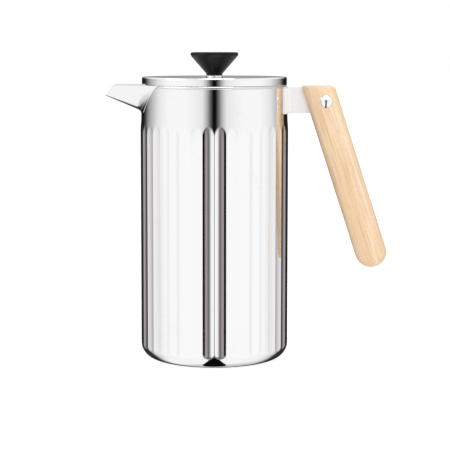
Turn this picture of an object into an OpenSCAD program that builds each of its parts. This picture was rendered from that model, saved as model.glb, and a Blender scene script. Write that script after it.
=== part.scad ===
// French press: a double-walled, fluted steel pot with a beak spout and a wooden handle, a lid
// with a strainer skirt, and a plunger that carries a sprung mesh filter.
// +Z is up, the origin is the centre of the pot's base, the spout points along -X and the handle
// along +X. The plunger is drawn pressed down, with the knob on the lid.

/* [Pot] */
// Diameter across the lands between the flutes
body_d = 105; // [87.5:0.5:126]
// Height from the table to the rim
body_h = 194.8; // [162:0.2:234]
// Wall of the outer shell
shell_t = 0.8; // [0.6:0.1:1.2]
// Wall of the inner vessel
vessel_t = 0.8; // [0.5:0.1:1.2]
// Insulating gap between the two walls
wall_gap = 3.4; // [2.5:0.1:6]
// Insulating gap between the two floors
floor_gap = 5.2; // [3:0.1:10]
// Radius of the shell's bottom corner
corner_r = 11; // [7:0.5:14]
// Radius of the inner vessel's bottom corner
vessel_corner_r = 8; // [4:0.5:12]
// Width of the shell's flat foot ring
foot_w = 3.5; // [2:0.5:8]
// Radius of the rolled bead at the rim
bead_r = 1; // [0.8:0.1:1.4]

/* [Flutes and neck] */
// Number of flutes round the pot
flute_n = 40; // [24:1:60]
// Hollow of a flute below its own chord
flute_hollow = 0.2; // [0.1:0.05:0.3]
// Flat land left between two flutes
flute_land = 0.3; // [0.2:0.1:1]
// Height of the plain neck under the rim
neck_h = 21.8; // [21.4:0.2:40]
// Height of the shoulder between the flutes and the neck
shoulder_h = 12; // [6:0.5:20]
// How far the shoulder draws in
neck_step = 0.6; // [0.5:0.1:1.5]
// How far the neck draws in from the shoulder to the rim
neck_taper = 0.7; // [0:0.1:1]

/* [Spout] */
// Reach of the tip past the rim
spout_reach = 26; // [15:0.5:32]
// Drop of the tip below the rim
spout_drop = 7.5; // [4:0.5:9]
// Rise of the keel towards the tip, in degrees
keel_angle = 23; // [20:1:27]
// Half the angle between the two sides at the rim, seen from above
beak_angle = 28; // [22:1:32]
// Lean of the mouth's cut edge, in degrees
mouth_lean = 38; // [0:1:45]
// Radius of the fold along the keel
keel_r = 2.6; // [2:0.1:4]
// Sheet thickness of the spout
spout_t = 1; // [0.8:0.1:1.5]
// Width of the flange that joins the spout to the neck
spout_flange = 3.5; // [2:0.1:4]
// Depth of the pouring notch below the rim
notch_h = 11.5; // [8:0.5:12]
// Ledge left between the pouring notch and the spout's sides
notch_ledge = 3.3; // [2:0.1:5]

/* [Handle] */
// Width of the wooden grip, seen from the side
grip_w = 22.1; // [16:0.1:28]
// Depth of the wooden grip across the handle
grip_depth = 18; // [12:0.5:24]
// Height of the grip from its flat top to its round end
grip_h = 129.3; // [90:0.1:150]
// Lean of the grip away from the pot, in degrees
grip_lean = 18; // [8:1:22]
// Gap between the rim and the grip's top corner
grip_gap = 10.6; // [6:0.2:20]
// Drop of the grip's flat top below the rim
grip_drop = 0.8; // [0:0.1:5]
// Radius of the rounding along the grip's edges
grip_edge_r = 6.5; // [3:0.5:8]
// Radius of the grip's outer top corner
grip_corner_r = 3.4; // [2:0.1:6]
// Thickness of the bracket's plate
plate_t = 2; // [1.5:0.1:3]
// Height of the bracket's plate
plate_h = 19.1; // [14:0.1:24]
// Thickness of the saddle that is welded to the neck
saddle_t = 1.2; // [1:0.1:2]
// Half the angle that the saddle wraps round the neck
saddle_angle = 19; // [10:1:30]
// Height of the fixing above the plate's lower edge
fixing_rise = 8.5; // [6:0.1:12]
// Distance of the fixing behind the grip's centre line
fixing_shift = 1.8; // [0:0.1:3]
// Diameter of the fixing's domed heads
fixing_head_d = 8.8; // [7:0.1:10]
// Height of the fixing's domed heads
fixing_head_h = 1.6; // [1:0.1:2.5]
// Diameter of the barrel nut's shank
barrel_d = 5; // [4:0.1:6]
// Diameter of the screw's shank
screw_d = 3; // [2:0.1:3.5]

/* [Lid] */
// How far the lid's cover stands out past the rim
lid_overhang = 0.1; // [0:0.1:2]
// Height of the cover's band above the rim
lid_h = 5.6; // [5:0.1:9]
// Sheet thickness of the cover and the strainer
lid_t = 0.8; // [0.6:0.1:1]
// Radius of the cover's outer edge
lid_edge_r = 1.2; // [0.9:0.1:2]
// Depth of the strainer's skirt below the rim
skirt_h = 10.5; // [9:0.5:16]
// Number of slots in the strainer's skirt
slot_n = 21; // [9:2:31]
// Width of a slot
slot_w = 1.6; // [1:0.1:2]
// Angle between two slots
slot_pitch = 4; // [3.5:0.1:5]

/* [Plunger] */
// Diameter of the plunger's rod
rod_d = 5; // [4:0.1:7]
// Height of the pressed filter above the vessel's floor
filter_rise = 18.2; // [6:0.2:30]
// Diameter of the knob at its top
knob_d = 33.9; // [28:0.1:42]
// Height of the knob
knob_h = 16.3; // [14:0.1:24]
// Diameter of the knob's neck
knob_neck_d = 11.4; // [10.5:0.1:14]
// Height of the knob's straight neck
knob_neck_h = 1; // [0.6:0.1:4]
// Radius of the knob's top edge
knob_edge_r = 1.7; // [1:0.1:2.5]

/* [Filter] */
// Outer diameter of the coiled spring's section
coil_d = 4; // [3:0.1:5]
// Thickness of the spring plate and the cross plate
disc_t = 0.8; // [0.6:0.1:1.2]
// Thickness of the mesh
mesh_t = 0.5; // [0.3:0.1:0.8]
// Diameter of the holes in the spring plate
plate_hole_d = 10; // [6:0.5:12]
// Least web left between two of those holes
plate_web = 2; // [1.5:0.5:4]
// Plain margin between those holes and the spring plate's rim
plate_margin = 7; // [3:0.5:10]
// Number of arms on the cross plate
arm_n = 4; // [3:1:6]
// Width of the cross plate's arms
arm_w = 9; // [6:0.5:12]
// Width of the cross plate's ring
cross_ring_w = 6; // [4:0.5:10]

/* [Hidden] */

$fn = 96;
steel = [0.80, 0.80, 0.79];
beech = [0.87, 0.72, 0.52];
black = [0.07, 0.07, 0.07];
brass = [0.78, 0.62, 0.33];

part_gap = 0.3; // clear gap between pieces of different bodies
run_fit = 0.07; // radial clearance of a shaft in its bush
hole_fit = 0.1; // radial clearance of a fixing in its hole
weld_gap = 0.01; // hair line between the spout and the neck that it is welded to
cut = 2; // how far a cutter runs past the surface it opens

body_r = body_d / 2;
neck_z = body_h - neck_h;
shoulder_z = neck_z - shoulder_h;
rim_r = body_r - neck_step - neck_taper;
vessel_r = body_r - shell_t - wall_gap;
bore_r = vessel_r - vessel_t;
vessel_z = shell_t + floor_gap;
floor_z = vessel_z + vessel_t;
bead_centre = rim_r + 0.4 - bead_r;
shell_top = body_h - 2 * bead_r;
base_r = body_r - corner_r - foot_w;
base_lap = 2;
base_lip = 1;

flute_half = body_r * sin(180 / flute_n) - flute_land / 2;
flute_r = (flute_half * flute_half + flute_hollow * flute_hollow) / (2 * flute_hollow);
flute_chord = sqrt(body_r * body_r - flute_half * flute_half);
flute_axis = flute_chord - flute_hollow + flute_r;

tip_x = -rim_r - spout_reach;
tip_z = body_h - spout_drop;
fold_angle = atan(tan(beak_angle) / sin(keel_angle));
beak_leg = body_r;
beak_len = spout_reach + body_r / 2;
notch_in = body_r * 0.6;

plate_top = body_h - 1;
plate_z = plate_top - plate_h;
saddle_top = shell_top - 0.3;
grip_top = body_h - grip_drop;
grip_low = grip_top - grip_h;
grip_half = grip_w / 2;
grip_top_x = rim_r + grip_gap + grip_half / cos(grip_lean);
grip_end_z = grip_low + grip_half;
fixing_z = plate_z + fixing_rise;
fixing_x = grip_top_x + (grip_top - fixing_z) * tan(grip_lean) + fixing_shift;
grip_slot_fit = 0.05; // play of the plate in the grip's slot, on each side
slot_below = 1.2; // how far the slot runs on below the plate
barrel_end = 3; // wood left beyond the barrel nut
screw_end = 5; // wood left beyond the screw
socket_r = 1.5; // hexagon socket in the screw's head
socket_end = 0.3; // metal left between the socket and the shank
head_lap = 0.2; // how far a shank runs into its head
bracket_left = body_r - neck_step + saddle_t / 2;

lid_top = body_h + lid_h;
lid_r = rim_r + lid_overhang;
lid_low = body_h + part_gap;
strainer_r = bore_r - part_gap;
strainer_top = lid_top - lid_t - part_gap;
strainer_low = body_h - skirt_h;
bush_r = rod_d / 2 + 1.9;
bush_flange_r = knob_neck_d / 2 + 0.1;
bush_flange_t = 0.8;
nut_h = 2.4;
nut_top = strainer_top - lid_t - part_gap;
nut_wall = 2.6; // from a hexagon nut's bore to its corners
slot_margin = 2; // plain metal above and below the strainer's slots

rod_r = rod_d / 2;
knob_z = lid_top + bush_flange_t + part_gap;
knob_top = knob_z + knob_h;
insert_wall = 1.3;
insert_r = rod_r + insert_wall;
insert_z = knob_z + 1;
knob_flank = 0.8; // how far the cone's upper end stays inside the knob's edge
knob_flare = 0.7; // how far the neck flares out into the cone
insert_top = knob_top - 3;
rod_top = insert_top - 1;

filter_nut_h = 4;
filter_nut_end = 0.5; // closed end of the domed nut under the rod
filter_nut_z = floor_z + filter_rise;
cross_z = filter_nut_z + filter_nut_h;
mesh_z = cross_z + disc_t;
spring_plate_z = mesh_z + mesh_t;
coil_r = coil_d / 2;
coil_z = spring_plate_z + 1 + coil_r;
coil_ring_r = bore_r - part_gap - coil_r;
plate_rim_r = coil_ring_r - coil_r;
plate_ring_r = plate_rim_r - plate_margin - plate_hole_d / 2;
plate_hole_n = floor(2 * PI * plate_ring_r / (plate_hole_d + plate_web));
mesh_r = coil_ring_r + coil_r - 0.4;
hub_r = rod_r + 3;
plate_chamfer = 1; // bevel under the spring plate's rim
cross_hub_w = 5; // how far the cross plate's hub stands out past the clamped hub
arm_lap = 3; // how far the arms stop short of the cross plate's edge
filter_nut_wall = 1.5; // how far the filter nut's corners stand out past the hub
collar_r = rod_r + 2.5;
collar_h = 6;
collar_z = spring_plate_z + disc_t + part_gap;
rod_low = filter_nut_z + filter_nut_end;

// Radius of the neck's outer face at height z
function neck_at(z) = body_r - neck_step - neck_taper * (z - neck_z) / neck_h;
// Half width inside the beak at height z, where its keel meets the neck
function beak_half(z) = let (t = keel_r - spout_t, rise = z - tip_z + spout_reach * tan(keel_angle))
    t * cos(fold_angle) + (rise * cos(keel_angle) - keel_r + t * sin(fold_angle)) * tan(fold_angle);
// Points of the shoulder, which eases from the fluted wall to the neck
function shoulder_points(inset) = [for (i = [0 : 8])
    [body_r - inset - neck_step * (1 - cos(22.5 * i)) / 2, shoulder_z + shoulder_h * i / 8]];
// Points of a folded sheet's section: two legs that meet in a round fold of radius r
function fold_points(r) = let (a = 90 - fold_angle, c = [0, keel_r])
    concat([c + r * [-cos(fold_angle), -sin(fold_angle)] + beak_leg * [-sin(fold_angle), cos(fold_angle)]],
        [for (i = [0 : 6]) c + r * [cos(-180 + fold_angle + 2 * a * i / 6),
            sin(-180 + fold_angle + 2 * a * i / 6)]],
        [c + r * [cos(fold_angle), -sin(fold_angle)] + beak_leg * [sin(fold_angle), cos(fold_angle)]]);

// Half section of the pot's outside, drawn in by inset, up to height top
module shell_section(inset, top) {
    polygon(concat([[0, corner_r], [body_r - inset, corner_r]], shoulder_points(inset),
        [[neck_at(top) - inset, top], [0, top]]));
    translate([0, inset]) square([body_r - corner_r, corner_r - inset + 0.01]);
    intersection() {
        translate([body_r - corner_r, corner_r]) circle(corner_r - inset);
        translate([body_r - corner_r - 0.01, 0]) square([corner_r + 1, corner_r + 0.01]);
    }
}

// Half section of a plain cup of radius r with its floor at z and a corner radius c
module cup_section(r, z, c, top) {
    translate([0, z + c]) square([r, top - z - c]);
    translate([0, z]) square([r - c, c + 0.01]);
    intersection() {
        translate([r - c, z + c]) circle(c);
        translate([r - c - 0.01, z]) square([c + 1, c + 0.01]);
    }
}

// The pouring notch through the walls on the spout's side, grown outwards by grow
module notch(grow) {
    low = body_h - notch_h - grow;
    high = body_h + cut;
    side = grow / cos(fold_angle) - notch_ledge;
    foot = beak_half(low) + side;
    top = beak_half(high) + side;
    translate([-body_r - cut, 0, 0]) rotate([90, 0, 90]) linear_extrude(body_r + cut - notch_in)
        polygon([[-top, high], [-foot, low], [foot, low], [top, high]]);
}

// Solid of the neck's outside between two heights, grown by grow
module neck_solid(low, high, grow) {
    rotate_extrude() polygon([[0, low], [neck_at(low) + grow, low],
        [neck_at(high) + grow, high], [0, high]]);
}

module outer_shell() {
    $fn = 360; // the flutes are shallow, so their arcs need fine steps
    color(steel) difference() {
        rotate_extrude() difference() {
            shell_section(0, shell_top);
            shell_section(shell_t, body_h + cut);
            square([base_r, 2 * shell_t]);
        }
        for (i = [0 : flute_n - 1]) rotate((i + 0.5) * 360 / flute_n)
            translate([flute_axis, 0, -cut]) cylinder(r = flute_r, h = body_h + 2 * cut);
        notch(vessel_t);
    }
}

module inner_vessel() {
    color(steel) difference() {
        union() {
            rotate_extrude() union() {
                difference() {
                    cup_section(vessel_r, vessel_z, vessel_corner_r, body_h);
                    cup_section(bore_r, floor_z, vessel_corner_r - vessel_t, body_h + cut);
                }
                translate([bore_r, body_h - vessel_t]) square([bead_centre - bore_r, vessel_t]);
                translate([bead_centre, body_h - bead_r]) circle(bead_r);
            }
            intersection() {
                notch(vessel_t);
                difference() {
                    neck_solid(neck_z, body_h, 0);
                    cylinder(r = bore_r, h = body_h + cut);
                }
            }
        }
        notch(0);
    }
}

module base_disc() {
    color(steel) rotate_extrude() polygon([[0, 0], [base_r, 0], [base_r, shell_t],
        [base_r + base_lap, shell_t], [base_r + base_lap, 2 * shell_t],
        [base_r - base_lip, 2 * shell_t], [base_r - base_lip, shell_t], [0, shell_t]]);
}

// The folded channel of the beak along its keel, with a section r out from the fold's centre
module beak(r) {
    translate([tip_x, 0, tip_z]) rotate([0, keel_angle, 0]) rotate([90, 0, 90])
        translate([0, 0, -spout_reach]) linear_extrude(spout_reach + beak_len)
            polygon(fold_points(r));
}

module spout() {
    color(steel) difference() {
        intersection() {
            union() {
                beak(keel_r);
                intersection() {
                    beak(keel_r + spout_flange);
                    neck_solid(neck_z, body_h, spout_t);
                }
            }
            translate([tip_x, 0, tip_z]) rotate([0, mouth_lean, 0])
                translate([0, -body_r, -body_h / 2]) cube([body_r, body_d, body_h]);
            translate([-2 * body_r, -body_r, neck_z]) cube([2 * body_r - notch_in, body_d, neck_h]);
        }
        beak(keel_r - spout_t);
        neck_solid(neck_z - cut, body_h + cut, weld_gap);
        translate([0, 0, shell_top - weld_gap])
            cylinder(r = bead_centre + bead_r + weld_gap, h = 2 * bead_r + cut);
    }
}

// Side outline of the grip, its flat top level and its lower end round
module grip_outline() {
    end_x = grip_top_x + (grip_top - grip_end_z) * tan(grip_lean);
    difference() {
        union() {
            translate([end_x, grip_end_z]) rotate(grip_lean)
                translate([-grip_half, 0]) square([grip_w, grip_h + grip_w]);
            translate([end_x, grip_end_z]) circle(grip_half);
        }
        translate([0, grip_top]) square([2 * end_x, grip_h]);
        grip_corner_cut();
    }
}

// What the rounding of the grip's outer top corner takes away
module grip_corner_cut() {
    corner_x = grip_top_x + grip_half / cos(grip_lean);
    reach = grip_corner_r * tan((90 + grip_lean) / 2);
    centre = [corner_x + grip_corner_r * tan(grip_lean) - grip_corner_r / cos(grip_lean),
        grip_top - grip_corner_r];
    edge = centre + grip_corner_r * [cos(grip_lean), sin(grip_lean)];
    difference() {
        polygon([[centre[0], grip_top], centre, edge, [corner_x + reach, edge[1]],
            [corner_x + reach, grip_top + 1], [centre[0], grip_top + 1]]);
        translate(centre) circle(grip_corner_r);
    }
}

// Cross section of the grip with its rounded edges
module grip_section() {
    w = grip_half - grip_edge_r;
    d = grip_depth / 2 - grip_edge_r;
    square([grip_w, 2 * d], center = true);
    square([2 * w, grip_depth], center = true);
    for (x = [-w, w], y = [-d, d]) translate([x, y]) circle(grip_edge_r);
}

// Cross hole of radius r for the handle's fixing
module fixing_hole(r) {
    translate([fixing_x, 0, fixing_z]) rotate([90, 0, 0])
        cylinder(r = r, h = grip_depth + 2 * cut, center = true);
}

module handle_grip() {
    color(beech) difference() {
        intersection() {
            rotate([90, 0, 0]) linear_extrude(grip_depth, center = true) grip_outline();
            translate([grip_top_x, 0, grip_top]) rotate([0, -grip_lean, 0])
                translate([0, 0, -grip_h * 1.2]) linear_extrude(grip_h * 1.5) grip_section();
        }
        translate([0, -plate_t / 2 - grip_slot_fit, plate_z - slot_below])
            cube([2 * body_d, plate_t + 2 * grip_slot_fit, grip_h]);
        fixing_hole(barrel_d / 2 + hole_fit);
    }
}

module handle_bracket() {
    color(steel) difference() {
        union() {
            rotate([90, 0, 0]) linear_extrude(plate_t, center = true) intersection() {
                translate([bracket_left, plate_z]) square([body_d, plate_h]);
                union() {
                    grip_outline();
                    square([grip_top_x, plate_top]);
                }
            }
            rotate([0, 0, -saddle_angle]) rotate_extrude(angle = 2 * saddle_angle)
                polygon([[neck_at(plate_z), plate_z], [neck_at(plate_z) + saddle_t, plate_z],
                    [neck_at(saddle_top) + saddle_t, saddle_top], [neck_at(saddle_top), saddle_top]]);
        }
        fixing_hole(barrel_d / 2 + hole_fit);
    }
}

// Domed head of radius r and height h, standing on the XY plane
module domed_head(r, h) {
    dome = (r * r + h * h) / (2 * h);
    intersection() {
        translate([0, 0, h - dome]) sphere(dome);
        cylinder(r = r, h = h + 1);
    }
}

module handle_barrel_nut() {
    length = grip_depth - barrel_end;
    color(steel) translate([fixing_x, -grip_depth / 2, fixing_z]) rotate([90, 0, 0]) difference() {
        union() {
            domed_head(fixing_head_d / 2, fixing_head_h);
            translate([0, 0, -length]) cylinder(r = barrel_d / 2, h = length + head_lap);
        }
        translate([0, 0, -length - 1]) cylinder(r = screw_d / 2 + 0.05, h = length - 1);
    }
}

module handle_screw() {
    length = grip_depth - screw_end;
    color(steel) translate([fixing_x, grip_depth / 2, fixing_z]) rotate([-90, 0, 0]) difference() {
        union() {
            domed_head(fixing_head_d / 2, fixing_head_h);
            translate([0, 0, -length]) cylinder(r = screw_d / 2, h = length + head_lap);
        }
        translate([0, 0, socket_end]) cylinder(r = socket_r, h = fixing_head_h + cut, $fn = 6);
    }
}

module lid_cover() {
    color(steel) rotate_extrude() difference() {
        union() {
            translate([0, lid_low]) square([lid_r, lid_top - lid_edge_r - lid_low]);
            square_to_edge();
            intersection() {
                translate([lid_r - lid_edge_r, lid_top - lid_edge_r]) circle(lid_edge_r);
                translate([0, lid_top - lid_edge_r]) square([lid_r, lid_edge_r]);
            }
        }
        translate([0, lid_low - 1]) square([lid_r - lid_t, lid_top - lid_t - lid_low + 1]);
        translate([0, lid_low - 1]) square([bush_r, lid_h + 2]);
    }
}

// Flat of the cover inside its rounded edge
module square_to_edge() {
    translate([0, lid_top - 2 * lid_edge_r]) square([lid_r - lid_edge_r, 2 * lid_edge_r]);
}

module lid_bush() {
    color(steel) rotate_extrude() polygon([[rod_r + run_fit, nut_top - nut_h], [bush_r, nut_top - nut_h],
        [bush_r, lid_top], [bush_flange_r, lid_top], [bush_flange_r, lid_top + bush_flange_t],
        [rod_r + run_fit, lid_top + bush_flange_t]]);
}

module lid_nut() {
    color(steel) translate([0, 0, nut_top - nut_h]) difference() {
        cylinder(r = bush_r + nut_wall, h = nut_h, $fn = 6);
        translate([0, 0, -1]) cylinder(r = bush_r, h = nut_h + 2);
    }
}

module lid_strainer() {
    color(steel) difference() {
        rotate_extrude() difference() {
            translate([0, strainer_low]) square([strainer_r, strainer_top - strainer_low]);
            translate([0, strainer_low - 1])
                square([strainer_r - lid_t, strainer_top - lid_t - strainer_low + 1]);
            translate([0, strainer_low]) square([bush_r + run_fit, body_h]);
        }
        for (i = [0 : slot_n - 1]) rotate(180 + (i - (slot_n - 1) / 2) * slot_pitch)
            translate([strainer_r - lid_t - cut, -slot_w / 2, strainer_low + slot_margin])
                cube([lid_t + 2 * cut, slot_w, skirt_h - 2 * slot_margin]);
    }
}

module plunger_rod() {
    color(steel) translate([0, 0, rod_low]) cylinder(r = rod_r, h = rod_top - rod_low);
}

module rod_collar() {
    color(steel) translate([0, 0, collar_z]) difference() {
        cylinder(r = collar_r, h = collar_h);
        translate([0, 0, -1]) cylinder(r = rod_r, h = collar_h + 2);
    }
}

module knob() {
    flank_r = knob_d / 2 - knob_flank;
    color(black) rotate_extrude() difference() {
        union() {
            polygon([[0, knob_z], [knob_neck_d / 2, knob_z], [knob_neck_d / 2, knob_z + knob_neck_h],
                [knob_neck_d / 2 + knob_flare, knob_z + knob_neck_h + 1],
                [flank_r, knob_top - knob_edge_r * 1.8],
                [knob_d / 2 - 0.1, knob_top - knob_edge_r * 1.1],
                [knob_d / 2 - knob_edge_r, knob_top], [0, knob_top]]);
            translate([knob_d / 2 - knob_edge_r, knob_top - knob_edge_r]) circle(knob_edge_r);
        }
        translate([0, insert_z]) square([insert_r, insert_top - insert_z]);
        translate([0, knob_z - 1]) square([rod_r + run_fit + 0.1, 3]);
    }
}

module knob_insert() {
    color(brass) translate([0, 0, insert_z]) difference() {
        cylinder(r = insert_r, h = insert_top - insert_z);
        translate([0, 0, -1]) cylinder(r = rod_r + run_fit, h = rod_top + 0.4 - insert_z + 1);
    }
}

module spring_plate() {
    inner_r = plate_rim_r - disc_t;
    color(steel) difference() {
        rotate_extrude() polygon([[rod_r + run_fit, spring_plate_z],
            [plate_rim_r - plate_chamfer, spring_plate_z],
            [plate_rim_r, spring_plate_z + plate_chamfer / 2], [plate_rim_r, coil_z + coil_r],
            [inner_r, coil_z + coil_r], [inner_r, spring_plate_z + disc_t],
            [rod_r + run_fit, spring_plate_z + disc_t]]);
        for (i = [0 : plate_hole_n - 1]) rotate(i * 360 / plate_hole_n)
            translate([plate_ring_r, 0, spring_plate_z - 1]) cylinder(d = plate_hole_d, h = disc_t + 2);
    }
}

module filter_spring() {
    color(steel) translate([0, 0, coil_z]) rotate_extrude()
        translate([coil_ring_r, 0]) circle(coil_r);
}

module mesh_filter() {
    color(steel) rotate_extrude() difference() {
        translate([0, mesh_z]) square([mesh_r, mesh_t]);
        translate([0, mesh_z - 1]) square([rod_r + run_fit, mesh_t + 2]);
    }
}

module cross_plate() {
    color(steel) translate([0, 0, cross_z]) linear_extrude(disc_t) difference() {
        union() {
            difference() {
                circle(plate_rim_r);
                circle(plate_rim_r - cross_ring_w);
            }
            circle(hub_r + cross_hub_w);
            for (i = [0 : arm_n - 1]) rotate(i * 360 / arm_n)
                translate([0, -arm_w / 2]) square([plate_rim_r - arm_lap, arm_w]);
        }
        circle(rod_r + run_fit);
    }
}

module filter_nut() {
    color(steel) translate([0, 0, filter_nut_z]) difference() {
        cylinder(r = hub_r + filter_nut_wall, h = filter_nut_h, $fn = 6);
        translate([0, 0, filter_nut_end]) cylinder(r = rod_r + run_fit, h = filter_nut_h + 1);
    }
}

outer_shell();
inner_vessel();
base_disc();
spout();
handle_bracket();
handle_grip();
handle_barrel_nut();
handle_screw();
lid_cover();
lid_bush();
lid_nut();
lid_strainer();
plunger_rod();
rod_collar();
knob();
knob_insert();
spring_plate();
filter_spring();
mesh_filter();
cross_plate();
filter_nut();
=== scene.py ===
# %% [markdown]
# # A fluted steel french press
# A french press is a double-walled steel pot with a beak spout and a leaning wooden handle, a lid
# with a slotted skirt, and a plunger that pushes a sprung mesh filter down through the coffee.
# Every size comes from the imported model, which the first cell loads as a fixed frame. Each piece is
# then worked out again as a smooth surface, gets its finish, and rides on the body it belongs to.

# %% Load the frame
import bpy
import numpy as np
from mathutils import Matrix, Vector


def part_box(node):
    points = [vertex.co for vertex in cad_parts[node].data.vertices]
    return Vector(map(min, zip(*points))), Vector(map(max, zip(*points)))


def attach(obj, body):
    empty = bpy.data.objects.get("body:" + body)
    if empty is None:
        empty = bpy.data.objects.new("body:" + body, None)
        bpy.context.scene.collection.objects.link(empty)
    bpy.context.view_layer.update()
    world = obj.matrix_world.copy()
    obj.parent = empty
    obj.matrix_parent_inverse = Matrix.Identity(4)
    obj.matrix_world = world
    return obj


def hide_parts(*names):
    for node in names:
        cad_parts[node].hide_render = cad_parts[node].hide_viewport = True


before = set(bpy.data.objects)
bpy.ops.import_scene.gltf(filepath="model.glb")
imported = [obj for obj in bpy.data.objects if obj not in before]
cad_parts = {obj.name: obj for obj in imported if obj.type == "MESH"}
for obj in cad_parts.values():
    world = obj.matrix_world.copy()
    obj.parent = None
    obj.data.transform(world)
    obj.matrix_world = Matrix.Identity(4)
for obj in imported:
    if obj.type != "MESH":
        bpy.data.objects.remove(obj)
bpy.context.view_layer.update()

# %% [markdown]
# ## Two ways to make a surface
# Nearly every piece here is a grid of points, worked out from two parameters. A turned piece carries
# a profile round an axis. A sheet piece has an outer grid and an inner grid, and its thickness is
# the strip of faces that joins their borders. A mask of kept cells cuts windows in it, and the same
# strip then lines each window. Whole arrays go to the mesh at once, which is quick and keeps the
# formula in one place.

# %% Grids, turned shapes and sheets
MM = 0.001


def span(node):
    """Lowest and highest corner of a CAD node as two arrays, in metres."""
    low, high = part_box(node)
    return np.array(low), np.array(high)


def grid_cells(rows, cols, wrap_rows=False, wrap_cols=False):
    """The quads between neighbouring grid points: cell (i, j) joins point (i, j) to (i+1, j+1)."""
    index = np.arange(rows * cols).reshape(rows, cols)
    down = np.roll(index, -1, 0)
    cells = np.stack([index, down, np.roll(down, -1, 1), np.roll(index, -1, 1)], -1)
    return cells[: rows if wrap_rows else rows - 1, : cols if wrap_cols else cols - 1]


def skin(grid, wrap_rows=False, wrap_cols=False):
    """All points of a grid and all faces between them."""
    return grid.reshape(-1, 3), grid_cells(*grid.shape[:2], wrap_rows, wrap_cols).reshape(-1, 4)


def turned(profile, steps=192, shape=None):
    """A closed profile of (radius, height) carried round the Z axis: x = r cos t, y = r sin t, z = h.
    shape may change the radius with the angle and the profile point, as for a hexagon."""
    t = np.linspace(0, 2 * np.pi, steps, endpoint=False)[:, None]
    r, h = profile[:, 0][None, :], profile[:, 1][None, :]
    r = r + 0 * t if shape is None else shape(r + 0 * t, t)
    points = np.stack([r * np.cos(t), r * np.sin(t), h + 0 * t], -1)
    return skin(points, True, True)


def sheet(outer, inner, keep=None, wrap_rows=False):
    """A thick sheet between two grids of the same size. A quad joins outer to inner along every edge
    where a kept cell meets a cut one or the border."""
    rows, cols = outer.shape[:2]
    corners = grid_cells(rows, cols, wrap_rows)
    keep = np.ones(corners.shape[:2], bool) if keep is None else keep
    padded = np.pad(keep, 1)
    if wrap_rows:
        padded[0, 1:-1], padded[-1, 1:-1] = keep[-1], keep[0]
    beside = [padded[1:-1, :-2], padded[2:, 1:-1], padded[1:-1, 2:], padded[:-2, 1:-1]]
    count = rows * cols
    walls = [np.stack([corners[..., k], corners[..., (k + 1) % 4],
                       corners[..., (k + 1) % 4] + count, corners[..., k] + count], -1)[keep & ~next_kept]
             for k, next_kept in enumerate(beside)]
    faces = [corners[keep], corners[keep][:, ::-1] + count, *walls]
    return np.concatenate([outer.reshape(-1, 3), inner.reshape(-1, 3)]), np.concatenate(faces)


def joined(*parts):
    """Several (points, faces) pairs as one pair."""
    starts = np.cumsum([0] + [len(points) for points, _ in parts[:-1]])
    return (np.concatenate([points for points, _ in parts]),
            np.concatenate([faces + start for (_, faces), start in zip(parts, starts)]))


def rounded(corners, radii, steps=6):
    """A closed outline whose corners are rounded. Each arc touches both sides at radius / tan(half
    the corner's angle) from the corner."""
    corners = np.asarray(corners, float)
    outline = []
    neighbours = zip(corners, np.roll(corners, 1, 0), np.roll(corners, -1, 0), radii)
    for corner, before, after, radius in neighbours:
        if radius == 0:
            outline.append(corner[None, :])
            continue
        a = (before - corner) / np.linalg.norm(before - corner)
        b = (after - corner) / np.linalg.norm(after - corner)
        half = np.arccos(np.clip(a @ b, -1, 1)) / 2
        middle = (a + b) / np.linalg.norm(a + b)
        centre = corner + middle * radius / np.sin(half)
        turn = np.linspace(-1, 1, steps + 1)[:, None] * (np.pi / 2 - half)
        across = b - (b @ middle) * middle
        across /= np.linalg.norm(across)
        outline.append(centre + radius * (-np.cos(turn) * middle + np.sin(turn) * across))
    return np.concatenate(outline)


def smaller(a, b, soft):
    """The smaller of two values, with the change between them rounded over a width of soft."""
    return (a + b - np.sqrt((a - b) ** 2 + soft ** 2)) / 2


def dip(distance, radius):
    """How far a quarter-round of that radius falls below its face, at a distance from the edge."""
    inward = np.clip(radius - distance, 0, radius)
    return radius - np.sqrt(radius ** 2 - inward ** 2)


print("grids, turned shapes and sheets are ready")

# %% [markdown]
# ## From arrays to a piece
# A finished piece needs four more things: its doubled points merged, its faces turned outwards,
# smooth shading that breaks only at real edges, and a CAD body to ride on. One helper does all four,
# so that each piece's own cell holds nothing but its shape.

# %% Make a piece
SHARP = np.radians(38)
finishes = {}


def piece(name, shape, finish, body, stands_for):
    """A mesh object from (points, faces), with its finish. It rides on body and replaces a node."""
    points, faces = shape
    mesh = bpy.data.meshes.new(name)
    mesh.from_pydata(points.tolist(), [], faces.tolist())
    made = bpy.data.objects.new(name, mesh)
    bpy.context.scene.collection.objects.link(made)
    bpy.context.view_layer.objects.active = made
    bpy.ops.object.select_all(action="DESELECT")
    made.select_set(True)
    bpy.ops.object.mode_set(mode="EDIT")
    bpy.ops.mesh.select_all(action="SELECT")
    bpy.ops.mesh.remove_doubles(threshold=0.5e-6)
    bpy.ops.mesh.dissolve_degenerate(threshold=0.5e-6)
    bpy.ops.mesh.select_all(action="SELECT")
    bpy.ops.mesh.normals_make_consistent(inside=False)
    bpy.ops.object.mode_set(mode="OBJECT")
    mesh.shade_smooth()
    mesh.set_sharp_from_angle(angle=SHARP)
    mesh.materials.append(finishes[finish])
    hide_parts(stands_for)
    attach(made, body)
    print(f"{name}: {len(mesh.vertices)} points, {len(mesh.polygons)} faces")
    return made

# %% [markdown]
# ## Effects that several finishes share
# Every surface here has been handled, washed and dried, so the finishes share a few effects: smudges
# that dull the gloss, dust that settles on what faces up, paler worn edges and fine drawn lines.
# Each is a shader node group with named sockets. A group puts out a mask or a height only, and the
# Principled shader stays in each material, so that one effect can serve steel, wood and plastic.

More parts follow.
